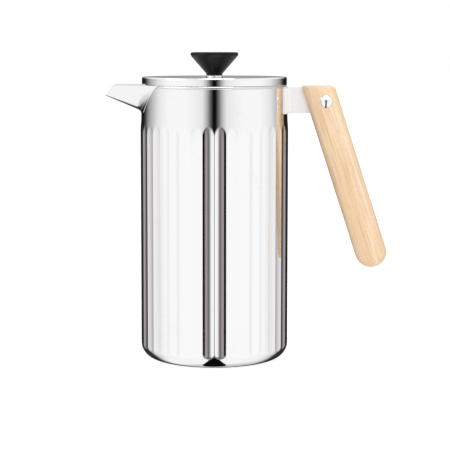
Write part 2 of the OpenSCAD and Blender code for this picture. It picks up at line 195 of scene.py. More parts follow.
# %% Shader helpers and shared effects
def add(tree, kind, inputs=None, **settings):
    """A shader node with its settings, its plain values and its links."""
    made = tree.nodes.new("ShaderNode" + kind)
    for name, value in settings.items():
        setattr(made, name, value)
    for name, value in (inputs or {}).items():
        if isinstance(value, bpy.types.NodeSocket):
            tree.links.new(value, made.inputs[name])
        else:
            made.inputs[name].default_value = value
    return made


def calc(tree, operation, a, b=0.0, clamp=False):
    """The result socket of one Math node."""
    return add(tree, "Math", {0: a, 1: b}, operation=operation, use_clamp=clamp).outputs[0]


def spread(tree, value, low, high, out_low=0.0, out_high=1.0):
    """value mapped from low..high to out_low..out_high, eased at both ends."""
    return add(tree, "MapRange", {"Value": value, "From Min": low, "From Max": high, "To Min": out_low,
                                  "To Max": out_high}, interpolation_type="SMOOTHSTEP").outputs[0]


def effect(name, inputs, outputs):
    """An empty node group with float inputs (name: default), a Coordinates input and its outputs."""
    tree = bpy.data.node_groups.new(name, "ShaderNodeTree")
    tree.interface.new_socket("Coordinates", in_out="INPUT", socket_type="NodeSocketVector")
    for socket, default in inputs.items():
        made = tree.interface.new_socket(socket, in_out="INPUT", socket_type="NodeSocketFloat")
        made.default_value = default
    for socket in outputs:
        tree.interface.new_socket(socket, in_out="OUTPUT", socket_type="NodeSocketFloat")
    return tree, tree.nodes.new("NodeGroupInput").outputs, tree.nodes.new("NodeGroupOutput").inputs


# Smudges: broad soft noise, broken up by a finer one, as left by a cloth and by fingers
smudges, given, result = effect("handling_smudges", {"Size": 40.0, "Cover": 0.5}, ["Smudge", "Height"])
broad = add(smudges, "TexNoise", {"Vector": given["Coordinates"], "Scale": given["Size"], "Detail": 3.0})
fine = add(smudges, "TexNoise", {"Vector": given["Coordinates"], "Detail": 5.0,
                                 "Scale": calc(smudges, "MULTIPLY", given["Size"], 9.0)})
mixed = calc(smudges, "ADD", calc(smudges, "MULTIPLY", broad.outputs[0], 0.7),
             calc(smudges, "MULTIPLY", fine.outputs[0], 0.3))
edge_value = calc(smudges, "SUBTRACT", 0.75, calc(smudges, "MULTIPLY", given["Cover"], 0.5))
smudges.links.new(spread(smudges, mixed, edge_value, 0.8), result["Smudge"])
smudges.links.new(mixed, result["Height"])

# Dust: only on what faces up, thin and patchy
dust, given, result = effect("settled_dust", {"Size": 300.0, "Amount": 0.2}, ["Dust"])
upward = add(dust, "SeparateXYZ", {0: dust.nodes.new("ShaderNodeNewGeometry").outputs["Normal"]}).outputs[2]
specks = add(dust, "TexNoise", {"Vector": given["Coordinates"], "Scale": given["Size"], "Detail": 8.0})
settled = calc(dust, "MULTIPLY", spread(dust, upward, 0.6, 1.0), spread(dust, specks.outputs[0], 0.45, 0.75))
dust.links.new(calc(dust, "MULTIPLY", settled, given["Amount"]), result["Dust"])

# Worn edges: outside corners, where the surface bends most, broken up by noise
wear, given, result = effect("worn_edges", {"Size": 150.0, "Amount": 0.5}, ["Wear"])
bend = wear.nodes.new("ShaderNodeNewGeometry").outputs["Pointiness"]
patches = add(wear, "TexNoise", {"Vector": given["Coordinates"], "Scale": given["Size"], "Detail": 4.0})
rubbed = calc(wear, "MULTIPLY", spread(wear, bend, 0.52, 0.62), spread(wear, patches.outputs[0], 0.35, 0.65))
wear.links.new(calc(wear, "MULTIPLY", rubbed, given["Amount"]), result["Wear"])

# Drawn lines: noise stretched along one axis of the coordinates it is given
lines, given, result = effect("drawn_lines", {"Across": 2500.0, "Along": 12.0}, ["Line"])
stretch = add(lines, "CombineXYZ", {0: given["Across"], 1: given["Across"], 2: given["Along"]}).outputs[0]
drawn = add(lines, "VectorMath", {0: given["Coordinates"], 1: stretch}, operation="MULTIPLY").outputs[0]
streak = add(lines, "TexNoise", {"Vector": drawn, "Scale": 1.0, "Detail": 2.0})
lines.links.new(streak.outputs[0], result["Line"])
print("shared effects:", [g.name for g in bpy.data.node_groups])

# %% [markdown]
# ## The finishes
# The pot, spout, lid and bracket are stainless steel. The outside is polished to a near mirror, and
# only smudges and the faint lines of the polishing wheel break it. What is inside is left satin, the
# spring is drawn wire and the filter is woven. The handle is pale oiled beech, the knob black moulded
# plastic. A metal's colour is its reflection, so its base colour is high and the studio does the rest.

# %% Start a finish
def start_finish(name, colour, metallic, roughness, **sockets):
    """A new material: its node tree, its Principled shader and its Object coordinates."""
    made = bpy.data.materials.new(name)
    made.use_nodes = True
    tree = made.node_tree
    shader = tree.nodes["Principled BSDF"]
    values = {"Base Color": (*colour, 1), "Metallic": metallic, "Roughness": roughness, **sockets}
    for socket, value in values.items():
        shader.inputs[socket.replace("_", " ")].default_value = value
    finishes[name] = made
    return tree, shader, tree.nodes.new("ShaderNodeTexCoord").outputs["Object"]


def use(tree, group, coordinates, **values):
    """A shared effect placed in a material with its own values."""
    return add(tree, "Group", {"Coordinates": coordinates, **values}, node_tree=group).outputs


def blend_colour(tree, share, first, second):
    """A colour that goes from first to second as share goes from 0 to 1."""
    made = add(tree, "Mix", data_type="RGBA")
    for socket, value in ((0, share), (6, first), (7, second)):
        if isinstance(value, bpy.types.NodeSocket):
            tree.links.new(value, made.inputs[socket])
        else:
            made.inputs[socket].default_value = (*value, 1) if socket else value
    return made.outputs[2]


def feed(tree, shader, **sockets):
    """Links a colour or a value to the shader's sockets, whose names have _ for a space."""
    for name, value in sockets.items():
        tree.links.new(value, shader.inputs[name.replace("_", " ")])


def dulled(tree, smudge, clean, dull):
    """A roughness that goes from clean to dull where the smudges are."""
    return spread(tree, smudge["Smudge"], 0.0, 1.0, clean, dull)


def bump(tree, shader, height, strength, distance):
    """Turns a height mask into relief that is distance metres deep, on the shader's normal."""
    made = add(tree, "Bump", {"Height": height, "Strength": strength, "Distance": distance})
    tree.links.new(made.outputs[0], shader.inputs["Normal"])


# %% Polished steel
tree, shader, place = start_finish("polished_steel", (0.90, 0.895, 0.90), 1.0, 0.05)
smudge = use(tree, smudges, place, Size=38.0, Cover=0.45)
settled = use(tree, dust, place, Size=420.0, Amount=0.10)["Dust"]
worn = use(tree, wear, place, Size=120.0, Amount=0.6)["Wear"]
rough = calc(tree, "ADD", dulled(tree, smudge, 0.045, 0.09),
             calc(tree, "ADD", calc(tree, "MULTIPLY", settled, 0.6), calc(tree, "MULTIPLY", worn, 0.1)))
feed(tree, shader, Roughness=rough)
hazed = blend_colour(tree, smudge["Smudge"], (0.912, 0.904, 0.909), (0.875, 0.868, 0.872))
feed(tree, shader, Base_Color=blend_colour(tree, settled, hazed, (0.62, 0.60, 0.57)))
polish = use(tree, lines, place, Across=900.0, Along=900.0)["Line"]
bump(tree, shader, polish, 0.03, 0.00002)

# %% Satin steel
tree, shader, place = start_finish("satin_steel", (0.78, 0.775, 0.765), 1.0, 0.28)
smudge = use(tree, smudges, place, Size=60.0, Cover=0.5)
settled = use(tree, dust, place, Size=420.0, Amount=0.08)["Dust"]
satin = use(tree, lines, place, Across=220.0, Along=4200.0)["Line"]
rough = calc(tree, "ADD", dulled(tree, smudge, 0.24, 0.34), calc(tree, "MULTIPLY", satin, 0.08))
feed(tree, shader, Roughness=calc(tree, "ADD", rough, settled))
toned = blend_colour(tree, satin, (0.80, 0.795, 0.785), (0.70, 0.695, 0.685))
feed(tree, shader, Base_Color=blend_colour(tree, settled, toned, (0.60, 0.58, 0.55)))
bump(tree, shader, satin, 0.25, 0.00003)

# %% Bead-blasted steel of the bracket
tree, shader, place = start_finish("blasted_steel", (0.95, 0.95, 0.95), 0.40, 0.42)
smudge = use(tree, smudges, place, Size=80.0, Cover=0.4)
worn = use(tree, wear, place, Size=120.0, Amount=0.8)["Wear"]
pits = add(tree, "TexNoise", {"Vector": place, "Scale": 5200.0, "Detail": 3.0}).outputs[0]
rough = calc(tree, "SUBTRACT", dulled(tree, smudge, 0.40, 0.48), calc(tree, "MULTIPLY", worn, 0.2))
feed(tree, shader, Roughness=rough)
feed(tree, shader, Base_Color=blend_colour(tree, pits, (0.86, 0.86, 0.865), (0.91, 0.91, 0.915)))
bump(tree, shader, pits, 0.25, 0.00004)

# %% Drawn spring wire
tree, shader, place = start_finish("spring_wire", (0.76, 0.755, 0.745), 1.0, 0.22)
smudge = use(tree, smudges, place, Size=180.0, Cover=0.6)
rubbed = use(tree, wear, place, Size=500.0, Amount=0.7)["Wear"]
feed(tree, shader, Roughness=dulled(tree, smudge, 0.17, 0.34))
feed(tree, shader, Base_Color=blend_colour(tree, rubbed, (0.72, 0.71, 0.70), (0.86, 0.855, 0.845)))
bump(tree, shader, smudge["Height"], 0.2, 0.00002)

# %% Woven filter mesh
# Two sets of wires cross at right angles. Each is a row of half rounds, the absolute sine of its own
# coordinate, and a checker of the two decides which wire is on top at each crossing.
WIRE_PITCH = 0.9 * MM
tree, shader, place = start_finish("woven_mesh", (0.66, 0.655, 0.645), 1.0, 0.35)
axes = add(tree, "SeparateXYZ", {0: place}).outputs
phase = [calc(tree, "MULTIPLY", axes[k], np.pi / WIRE_PITCH) for k in (0, 1)]
humps = [calc(tree, "ABSOLUTE", calc(tree, "SINE", p)) for p in phase]
over = calc(tree, "MULTIPLY", calc(tree, "COSINE", phase[0]), calc(tree, "COSINE", phase[1]))
on_top = spread(tree, over, -0.4, 0.4)
weave_relief_and_painted_shade = add(tree, "Mix", {0: on_top, 2: humps[0], 3: humps[1]}).outputs[0]
smudge = use(tree, smudges, place, Size=70.0, Cover=0.5)
# The base colour is painted shade: near black in the gaps and on the wires' flanks, pale steel on their tops.
# The same values also give the bump's relief.
feed(tree, shader, Base_Color=blend_colour(tree, weave_relief_and_painted_shade, (0.10, 0.098, 0.095), (0.78, 0.775, 0.765)))
feed(tree, shader, Roughness=dulled(tree, smudge, 0.30, 0.45))
bump(tree, shader, weave_relief_and_painted_shade, 0.9, 0.0002)

# %% Black moulded plastic
tree, shader, place = start_finish("black_plastic", (0.008, 0.008, 0.009), 0.0, 0.36,
                                   Specular_IOR_Level=0.12)
smudge = use(tree, smudges, place, Size=90.0, Cover=0.5)
settled = use(tree, dust, place, Size=900.0, Amount=0.25)["Dust"]
worn = use(tree, wear, place, Size=300.0, Amount=0.6)["Wear"]
stipple = add(tree, "TexNoise", {"Vector": place, "Scale": 2600.0, "Detail": 2.0}).outputs[0]
rough = calc(tree, "ADD", dulled(tree, smudge, 0.30, 0.42), calc(tree, "MULTIPLY", settled, 0.8))
feed(tree, shader, Roughness=calc(tree, "SUBTRACT", rough, calc(tree, "MULTIPLY", worn, 0.12)))
rubbed = blend_colour(tree, worn, (0.006, 0.006, 0.007), (0.022, 0.022, 0.023))
feed(tree, shader, Base_Color=blend_colour(tree, settled, rubbed, (0.20, 0.195, 0.19)))
bump(tree, shader, stipple, 0.22, 0.00004)

# %% Turned brass
tree, shader, place = start_finish("brass", (0.80, 0.62, 0.32), 1.0, 0.25)
smudge = use(tree, smudges, place, Size=150.0, Cover=0.6)
rings = use(tree, lines, place, Across=150.0, Along=5000.0)["Line"]
feed(tree, shader, Base_Color=blend_colour(tree, smudge["Smudge"], (0.80, 0.62, 0.32), (0.55, 0.40, 0.19)))
feed(tree, shader, Roughness=dulled(tree, smudge, 0.2, 0.42))
bump(tree, shader, rings, 0.3, 0.00003)

# %% [markdown]
# ## Beech
# Beech is pale and even. Its grain runs the length of the handle as soft streaks, and it is flecked
# all over with short dark rays. The streaks are noise stretched along the grip, whose lean a Mapping
# node takes out first. The flecks are small stretched cells. Oil darkens the open grain a little and
# leaves a dull shine, and the edges that a hand rubs are smoother than the flats.

# %% Oiled beech
GRIP_LEAN = np.radians(18)
tree, shader, place = start_finish("beech", (0.80, 0.58, 0.33), 0.0, 0.45, Specular_IOR_Level=0.35)
grain = add(tree, "Mapping", {"Vector": place, "Rotation": (0, GRIP_LEAN, 0)}).outputs[0]


def stretched(scale, detail, kind="TexNoise"):
    """A texture of the grain's coordinates, scaled apart across, through and along the grip."""
    scaled = add(tree, "VectorMath", {0: grain, 1: scale}, operation="MULTIPLY").outputs[0]
    detailed = {"Detail": detail} if detail else {}
    return add(tree, kind, {"Vector": scaled, "Scale": 1.0, **detailed})


growth = stretched((150, 150, 7), 3.0).outputs[0]
streaks = stretched((900, 900, 26), 4.0).outputs[0]
fibres = stretched((3800, 3800, 120), 2.0).outputs[0]
flecks = stretched((1500, 1500, 330), 0, "TexVoronoi").outputs["Distance"]
pale = blend_colour(tree, spread(tree, growth, 0.36, 0.64), (0.740, 0.565, 0.395), (0.660, 0.470, 0.295))
streaky = blend_colour(tree, spread(tree, streaks, 0.44, 0.72), pale, (0.585, 0.385, 0.220))
flecked = blend_colour(tree, spread(tree, flecks, 0.30, 0.10, 0.0, 0.6), streaky, (0.450, 0.275, 0.150))
smudge = use(tree, smudges, place, Size=55.0, Cover=0.5)
handled = blend_colour(tree, calc(tree, "MULTIPLY", smudge["Smudge"], 0.35), flecked, (0.600, 0.430, 0.265))
feed(tree, shader, Base_Color=handled)
worn = use(tree, wear, place, Size=120.0, Amount=0.7)["Wear"]
rough = calc(tree, "ADD", spread(tree, fibres, 0.3, 0.7, 0.40, 0.54), calc(tree, "MULTIPLY", worn, -0.12))
feed(tree, shader, Roughness=rough)
relief = calc(tree, "ADD", calc(tree, "MULTIPLY", fibres, 0.6), calc(tree, "MULTIPLY", streaks, 0.4))
bump(tree, shader, relief, 0.35, 0.00012)
print("finishes:", sorted(finishes))

# %% [markdown]
# ## The studio
# A mirror-polished pot has hardly any colour of its own: it shows the room. So the room is built with
# as much care as the pot. It is a white tent. A slit in front, where the camera looks in, is black,
# and the bare wall on both sides of it is brown-grey. Behind the object the tent is open, so steel
# that turns away from the camera goes dark, and that draws its outline. The lid and the neck see a
# higher and softer part of the walls than the flutes do, so there are two rows of wall colours. Each
# depends on the compass direction of a ray, worked out in the world's nodes, and the height of the
# ray then picks between them, the table and the ceiling.

# %% Camera
AIM = Vector((0.0, 0.0, 0.110))
DISTANCE = 1.10
ELEVATION = np.radians(5.9)
SENSOR_MM, LENS_MM = 36, 123.2
SHIFT_RIGHT, SHIFT_DOWN = 0.0236, 0.0472
camera = bpy.data.objects.new("camera", bpy.data.cameras.new("camera"))
bpy.context.scene.collection.objects.link(camera)
camera.location = AIM + DISTANCE * Vector((0, -np.cos(ELEVATION), np.sin(ELEVATION)))
camera.rotation_euler = (np.pi / 2 - ELEVATION, 0, 0)
camera.data.sensor_width, camera.data.lens = SENSOR_MM, LENS_MM
camera.data.shift_x, camera.data.shift_y = SHIFT_RIGHT, -SHIFT_DOWN
camera.data.clip_start, camera.data.clip_end = 0.01, 30
bpy.context.scene.camera = camera
bpy.context.scene.view_settings.view_transform = "Standard"
print("camera at", [round(c, 3) for c in camera.location])

# %% The tent, by compass direction
world = bpy.data.worlds.new("studio")
bpy.context.scene.world = world
world.use_nodes = True
room = world.node_tree
room.nodes.clear()
ray = add(room, "SeparateXYZ", {0: room.nodes.new("ShaderNodeTexCoord").outputs["Generated"]}).outputs
compass = calc(room, "ABSOLUTE", calc(room, "ARCTAN2", ray[0], calc(room, "MULTIPLY", ray[1], -1.0)))
turn = calc(room, "DIVIDE", compass, np.pi)


def by_angle(stops):
    """A colour ramp round the tent, from stops of (degrees from the front, brightness, warmth). The
    first stop is at 0 and the last at 180, where a new ramp already has its two marks."""
    wall = add(room, "ValToRGB", {0: turn})
    marks = wall.color_ramp.elements
    for angle, _, _ in stops[1:-1]:
        marks.new(angle / 180)
    for mark, (_, bright, warm) in zip(marks, stops):
        mark.color = (bright * (1 + warm), bright, bright * (1 + warm / 4), 1)
    return wall.outputs[0]


# What the fluted wall sees: bare wall on both sides of the slit, then white, then a soft fall to black
low_wall = by_angle([(0, 0.003, 0), (2.2, 0.004, 0), (2.6, 0.30, 0.09), (4.5, 0.37, 0.11), (7.2, 0.27, 0.11),
                     (9.5, 0.125, 0.09), (11.5, 0.24, 0.06), (14, 0.86, 0), (17, 1.04, 0), (66, 1.05, 0),
                     (73, 0.92, 0), (82, 1.04, 0), (94, 0.93, 0), (108, 0.84, 0), (119, 0.68, 0.01),
                     (126, 0.48, 0.05), (132, 0.34, 0.08), (137, 0.20, 0.10), (142, 0.075, 0.08),
                     (150, 0.012, 0), (157, 0.012, 0), (160, 0.10, 0.05), (164, 0.10, 0.05), (167, 0.012, 0),
                     (174, 0.012, 0), (180, 0.06, 0)])
# What the neck and the lid see, higher up: the same walls out of focus, without the bare strips
high_wall = by_angle([(0, 0.003, 0), (2.0, 0.006, 0), (3.6, 0.045, 0), (7.2, 0.18, 0.02), (10.3, 0.40, 0.01),
                      (13.6, 0.60, 0), (16.7, 0.78, 0), (20, 0.88, 0), (32, 0.97, 0), (46, 1.03, 0),
                      (76, 1.03, 0), (89, 0.93, 0), (99, 0.84, 0), (109, 0.64, 0), (121, 0.42, 0.01),
                      (128, 0.27, 0.02), (136, 0.08, 0), (145, 0.012, 0), (170, 0.012, 0), (176, 0.22, 0),
                      (180, 0.40, 0)])
walls = blend_colour(room, spread(room, ray[2], -0.060, -0.046), low_wall, high_wall)
# The open gap under the slit, which runs on below the pot: an ellipse seen from above
gap_x = calc(room, "POWER", calc(room, "DIVIDE", ray[0], 0.15), 2.0)
gap_y = calc(room, "POWER", calc(room, "DIVIDE", calc(room, "ADD", ray[1], 0.14), 0.76), 2.0)
off_gap = calc(room, "GREATER_THAN", calc(room, "ADD", gap_x, gap_y), 1.0)
# The lit table, seen steeply from above, and a little less of it on the right
steep = spread(room, ray[2], -0.60, -0.80)
on_left = spread(room, ray[0], -0.33, -0.15, 1.0, 0.66)
table_lit = blend_colour(room, calc(room, "MULTIPLY", steep, on_left), walls, (1.0, 1.0, 1.0))
# The table's far edge, low down behind the pot, which only the round bottom corner sees
far_edge = calc(room, "MULTIPLY", spread(room, ray[1], 0.46, 0.62), spread(room, ray[2], -0.23, -0.27))
far_edge = calc(room, "MULTIPLY", far_edge, calc(room, "GREATER_THAN", ray[2], -0.62))
table_lit = blend_colour(room, far_edge, table_lit, (0.030, 0.030, 0.031))
over_gap = calc(room, "MAXIMUM", off_gap, calc(room, "GREATER_THAN", ray[2], 0.0))
under_pot = blend_colour(room, over_gap, (0.003, 0.003, 0.003), table_lit)
ceiling = blend_colour(room, spread(room, ray[2], 0.10, 0.45), under_pot, (1.05, 1.05, 1.05))
ceiling = blend_colour(room, spread(room, ray[2], 0.60, 1.0), ceiling, (0.70, 0.705, 0.71))
tent = add(room, "Background", {0: ceiling, 1: 1.0}).outputs[0]
backdrop = add(room, "Background", {0: (1, 1, 1, 1), 1: 1.0}).outputs[0]
seen = add(room, "LightPath").outputs["Is Camera Ray"]
both = add(room, "MixShader", {0: seen, 1: tent, 2: backdrop}).outputs[0]
add(room, "OutputWorld", {0: both})
print("tent walls:", len(room.nodes), "nodes in the world")

# %% [markdown]
# ## Floor and lamps
# The object stands on a pale, softly lit table, which leaves only a faint shadow. Two large soft
# boxes, one over the front and one to the left, model the wood and put a highlight on the knob.

# %% Floor and lamps
HALF_FLOOR, FLOOR_Z = 4.0, -0.2 * MM
floor_mesh = bpy.data.meshes.new("floor")
floor_corners = [(x * HALF_FLOOR, y * HALF_FLOOR, FLOOR_Z) for x, y in ((-1, -1), (1, -1), (1, 1), (-1, 1))]
floor_mesh.from_pydata(floor_corners, [], [(0, 1, 2, 3)])
floor = bpy.data.objects.new("floor", floor_mesh)
bpy.context.scene.collection.objects.link(floor)
start_finish("lit_table", (0.62, 0.62, 0.62), 0.0, 0.8, Emission_Color=(1, 1, 1, 1), Emission_Strength=0.62)
floor_mesh.materials.append(finishes["lit_table"])
floor.visible_glossy = False


def soft_box(name, place, size, power):
    """A square area lamp of that size in metres, aimed at the pot."""
    lamp = bpy.data.lights.new(name, "AREA")
    lamp.size, lamp.energy = size, power
    made = bpy.data.objects.new(name, lamp)
    bpy.context.scene.collection.objects.link(made)
    made.location = place
    made.rotation_euler = (AIM - made.location).to_track_quat("-Z", "Y").to_euler()
    return made


soft_box("box_over_front", (0.1, -0.7, 1.3), 0.9, 9.0)
soft_box("box_left", (-1.2, -0.5, 0.7), 0.8, 5.0)
print("floor and two soft boxes are set")

# %% [markdown]
# ## The fluted shell
# The outer wall is one deep-drawn steel cup with forty shallow flutes pressed into it. It could be
# cut with forty cylinders, but a boolean leaves ragged facets that a mirror finish shows at once.
# Here the wall's radius is a formula: the smaller of the round wall and of the nearest flute's arc.
# Where the shoulder draws in, the arc no longer reaches the wall, and the flute ends by itself in a
# rounded tip. The radius is worked out on a grid with more points near the narrow lands.

# %% The pot's own sizes
shell_high = span("outer_shell")[1]
vessel_low, vessel_high = span("inner_vessel")
spout_low = span("spout")[0]
body_r, shell_top = shell_high[0], shell_high[2]
rim_z, neck_z = vessel_high[2], spout_low[2]
CORNER, SHOULDER, STEP, TAPER = 11 * MM, 12 * MM, 0.6 * MM, 0.7 * MM
WALL, FOOT = 0.8 * MM, 3.5 * MM
FLUTES, HOLLOW, LAND, LAND_SOFT = 40, 0.2 * MM, 0.3 * MM, 0.012 * MM
shoulder_z = neck_z - SHOULDER
base_r = body_r - CORNER - FOOT


def neck_radius(z):
    """Outer radius of the plain neck: it narrows evenly towards the rim."""
    return body_r - STEP - TAPER * (z - neck_z) / (rim_z - neck_z)


def wall_radius(z):
    """Outer radius before fluting: a quarter circle, a straight wall, a half cosine, the neck."""
    corner = body_r - CORNER + np.sqrt(np.clip(CORNER ** 2 - np.clip(CORNER - z, 0, CORNER) ** 2, 0, None))
    eased = body_r - STEP * (1 - np.cos(np.pi * (z - shoulder_z) / SHOULDER)) / 2
    stretches = [z < CORNER, z < shoulder_z, z < neck_z]
    return np.select(stretches, [corner, body_r + 0 * z, eased], neck_radius(z))


def flute_radius(turn):
    """Distance from the axis to the nearest flute's arc. The arc's centre is outside the pot, on the
    flute's middle line, so the distance is a cos d - sqrt(f^2 - a^2 sin^2 d)."""
    half = body_r * np.sin(np.pi / FLUTES) - LAND / 2
    arc = (half ** 2 + HOLLOW ** 2) / (2 * HOLLOW)
    axis = np.sqrt(body_r ** 2 - half ** 2) - HOLLOW + arc
    pitch = 2 * np.pi / FLUTES
    off = np.mod(turn, pitch) - pitch / 2
    return axis * np.cos(off) - np.sqrt(arc ** 2 - (axis * np.sin(off)) ** 2)


flute_depth = body_r - flute_radius(np.pi / FLUTES)
print("wall", round(body_r * 2000, 1), "mm across, flutes", round(flute_depth * 1000, 2), "mm deep")

# %% [markdown]
# ## The pouring notch
# On the spout's side both walls are cut down in a shallow V, so that coffee reaches the beak. The
# notch is a height that depends on the angle: low in the middle, and rising to the rim on both sides
# at the slope of the beak's own sides. The shell and the vessel both use it.

# %% Height of the notch round the pot
KEEL_ANGLE, FOLD_R, SPOUT_T, NOTCH_H, LEDGE = np.radians(23), 2.6 * MM, 1.0 * MM, 11.5 * MM, 3.3 * MM
BEAK_HALF_ANGLE = np.radians(28)
FOLD = np.arctan(np.tan(BEAK_HALF_ANGLE) / np.sin(KEEL_ANGLE))
tip_x, tip_z = spout_low[0], rim_z - 7.5 * MM
reach = -tip_x - neck_radius(rim_z)


def beak_half(z):
    """Half the inside width of the beak where it meets the neck, at height z."""
    t = FOLD_R - SPOUT_T
    rise = z - tip_z + reach * np.tan(KEEL_ANGLE)
    return t * np.cos(FOLD) + (rise * np.cos(KEEL_ANGLE) - FOLD_R + t * np.sin(FOLD)) * np.tan(FOLD)


def notch_drop(turn, grow=0.0):
    """How far the rim drops at an angle: full depth in the middle, then up along the sides."""
    across = np.where(np.cos(turn) < 0, np.abs(body_r * np.sin(turn)), 1.0)
    low = rim_z - NOTCH_H
    foot = beak_half(low) - LEDGE
    slope = (beak_half(rim_z) - LEDGE - foot) / NOTCH_H
    climb = (across - foot - grow) / slope * (across > foot + grow)
    return np.clip(NOTCH_H + grow - climb, 0, NOTCH_H + grow)


COLUMNS = 16
in_flute = (1 - np.cos(np.pi * np.arange(COLUMNS) / COLUMNS)) / 2
ring_turns = (np.arange(FLUTES)[:, None] + in_flute).ravel() * 2 * np.pi / FLUTES
print("notch", round(notch_drop(ring_turns).max() * 1000, 1), "mm deep,", len(ring_turns), "columns")

# %% Build the shell
corner_turn = np.linspace(0, np.pi / 2, 26)
outside = np.concatenate([
    [[base_r, 0], [body_r - CORNER - 1.2 * MM, 0]],
    np.stack([body_r - CORNER + CORNER * np.sin(corner_turn), CORNER - CORNER * np.cos(corner_turn)], 1),
    [[body_r, z] for z in np.linspace(CORNER, shoulder_z, 12)[1:-1]],
    [[0, z] for z in np.linspace(shoulder_z, neck_z, 56)],
    [[0, z] for z in np.linspace(neck_z, shell_top, 12)[1:]]])
above_corner = 2 + len(corner_turn)
outside[above_corner:, 0] = wall_radius(outside[above_corner:, 1])
INSIDE_ROWS = 20
inside = np.concatenate([
    [[0, z] for z in np.linspace(shell_top, shoulder_z, INSIDE_ROWS)],
    [[0, CORNER]],
    np.stack([body_r - CORNER + (CORNER - WALL) * np.cos(corner_turn[::3]),
              CORNER - (CORNER - WALL) * np.sin(corner_turn[::3])], 1)[1:],
    [[base_r, WALL]]])
inside[:INSIDE_ROWS + 1, 0] = wall_radius(inside[:INSIDE_ROWS + 1, 1]) - WALL


def fluted(profile, cut):
    """The profile carried round the axis, with the flutes cut in it and its top dropped to the notch."""
    t = ring_turns[:, None]
    r, z = profile[:, 0][None, :] + 0 * t, profile[:, 1][None, :] + 0 * t
    if cut:
        r = smaller(r, flute_radius(t), LAND_SOFT)
    drop = notch_drop(t, WALL) - (rim_z - shell_top)
    z = np.where(drop > 0, np.minimum(z, shell_top - drop), z)
    return np.stack([r * np.cos(t), r * np.sin(t), z], -1)


shell_grid = np.concatenate([fluted(outside, True), fluted(inside, False)], 1)
piece("fluted_shell", skin(shell_grid, True, True), "polished_steel", "pot", "outer_shell")

# %% [markdown]
# ## The inner vessel
# Inside the fluted shell hangs a plain cup, whose rim is turned outwards and rolled into a bead. It
# could be a turned piece, but the bead has to follow the pouring notch. So the whole rim is drawn as
# part of the profile, and at every angle it is moved down by the notch's depth. Inside the notch the
# bead is drawn in until it is flush with the neck.

# %% Build the vessel
GAP, VESSEL_CORNER, BEAD = 3.4 * MM, 8 * MM, 1.0 * MM
vessel_r = body_r - WALL - GAP
bore_r = vessel_r - WALL
floor_z = vessel_low[2] + WALL
BEAD_SET_IN = 0.33 * MM
bead_centre = vessel_high[0] - BEAD - BEAD_SET_IN
quarter = np.linspace(0, np.pi / 2, 12)
bead_turn = np.linspace(-np.pi / 2, np.pi / 2, 18)
bead_round = np.clip(np.cos(bead_turn), 0, 1)
bead_out = np.where(bead_turn < 0, bead_round ** 0.12, bead_round ** 0.6)


def cup_corner(radius, bottom, corner, upward=True):
    """Quarter circle from the floor to the wall of a cup, or back down from the wall to the floor."""
    arc = np.stack([radius - corner + corner * np.sin(quarter),
                    bottom + corner - corner * np.cos(quarter)], 1)
    return arc if upward else arc[::-1]


wall_heights = np.linspace(vessel_low[2] + VESSEL_CORNER, rim_z - 16 * MM, 10)[1:]
vessel_profile = np.concatenate([
    [[0, vessel_low[2]]],
    cup_corner(vessel_r, vessel_low[2], VESSEL_CORNER),
    [[vessel_r, z] for z in wall_heights],
    [[vessel_r, rim_z - 2 * WALL], [vessel_r, rim_z - WALL], [bead_centre - BEAD, rim_z - WALL]],
    np.stack([bead_centre + BEAD * bead_out, rim_z - BEAD + BEAD * np.sin(bead_turn)], 1),
    [[bore_r + WALL, rim_z], [bore_r + 0.2 * MM, rim_z - 0.05 * MM], [bore_r, rim_z - 0.25 * MM]],
    [[bore_r, z] for z in wall_heights[::-1]],
    cup_corner(bore_r, floor_z, VESSEL_CORNER - WALL, upward=False),
    [[0, floor_z]]])
turns = ring_turns[:, None]
vessel_r_grid = vessel_profile[:, 0][None, :] + 0 * turns
vessel_z_grid = vessel_profile[:, 1][None, :] + 0 * turns
of_rim = vessel_z_grid > rim_z - 4 * BEAD
vessel_z_grid = vessel_z_grid - of_rim * notch_drop(turns)
flush = neck_radius(vessel_z_grid) - 0.03 * MM
in_notch = of_rim & (notch_drop(turns) > 0.3 * MM)
vessel_r_grid = np.where(in_notch, np.minimum(vessel_r_grid, flush), vessel_r_grid)
vessel_grid = np.stack([vessel_r_grid * np.cos(turns), vessel_r_grid * np.sin(turns), vessel_z_grid], -1)
piece("inner_vessel_turned_rim", skin(vessel_grid, True), "satin_steel", "pot", "inner_vessel")

# %% [markdown]
# ## The base disc
# A pressed disc closes the bottom of the shell. Its edge lies inside the shell's foot, and a shallow
# ring pressed into it keeps the thin metal flat. It never shows from the front, but a turned profile
# costs three lines, and the underside of a pot is looked at as soon as somebody washes it.

# %% Build the base disc
lip_r = span("base_disc")[1][0]
ring_dish = 0.35 * MM
base_profile = rounded([(0, WALL * 0.4), (base_r * 0.50, WALL * 0.4), (base_r * 0.56, ring_dish * 0.4),
                        (base_r * 0.80, ring_dish * 0.4), (base_r * 0.86, 0), (base_r - 0.1 * MM, 0),
                        (base_r - 0.1 * MM, WALL + 0.02 * MM), (lip_r, WALL + 0.02 * MM), (lip_r, 2 * WALL),
                        (base_r * 0.92, 2 * WALL), (base_r * 0.90, WALL + 0.3 * MM), (0, WALL + 0.3 * MM)],
                       [0, 2 * MM, 2 * MM, 2 * MM, 1.2 * MM, 0.2 * MM,
                        0, 0.2 * MM, 0.3 * MM, 0.3 * MM, 0.3 * MM, 0])
piece("pressed_base_disc", turned(base_profile, 128), "satin_steel", "pot", "base_disc")

# %% [markdown]
# ## The spout
# The beak is folded from one flat sheet: two plane sides that meet in a round fold, the keel. Where
# it meets the neck it is welded on, and the weld is ground out to a hollow curve that runs into a
# flange. A plane side can be ruled: any straight line between two of its points lies in it. So the
# sides are straight lines from the slanted mouth to the seam on the neck. The hollow is a row of
# parabolas, from the side, towards the seam, and out to the flange's edge.

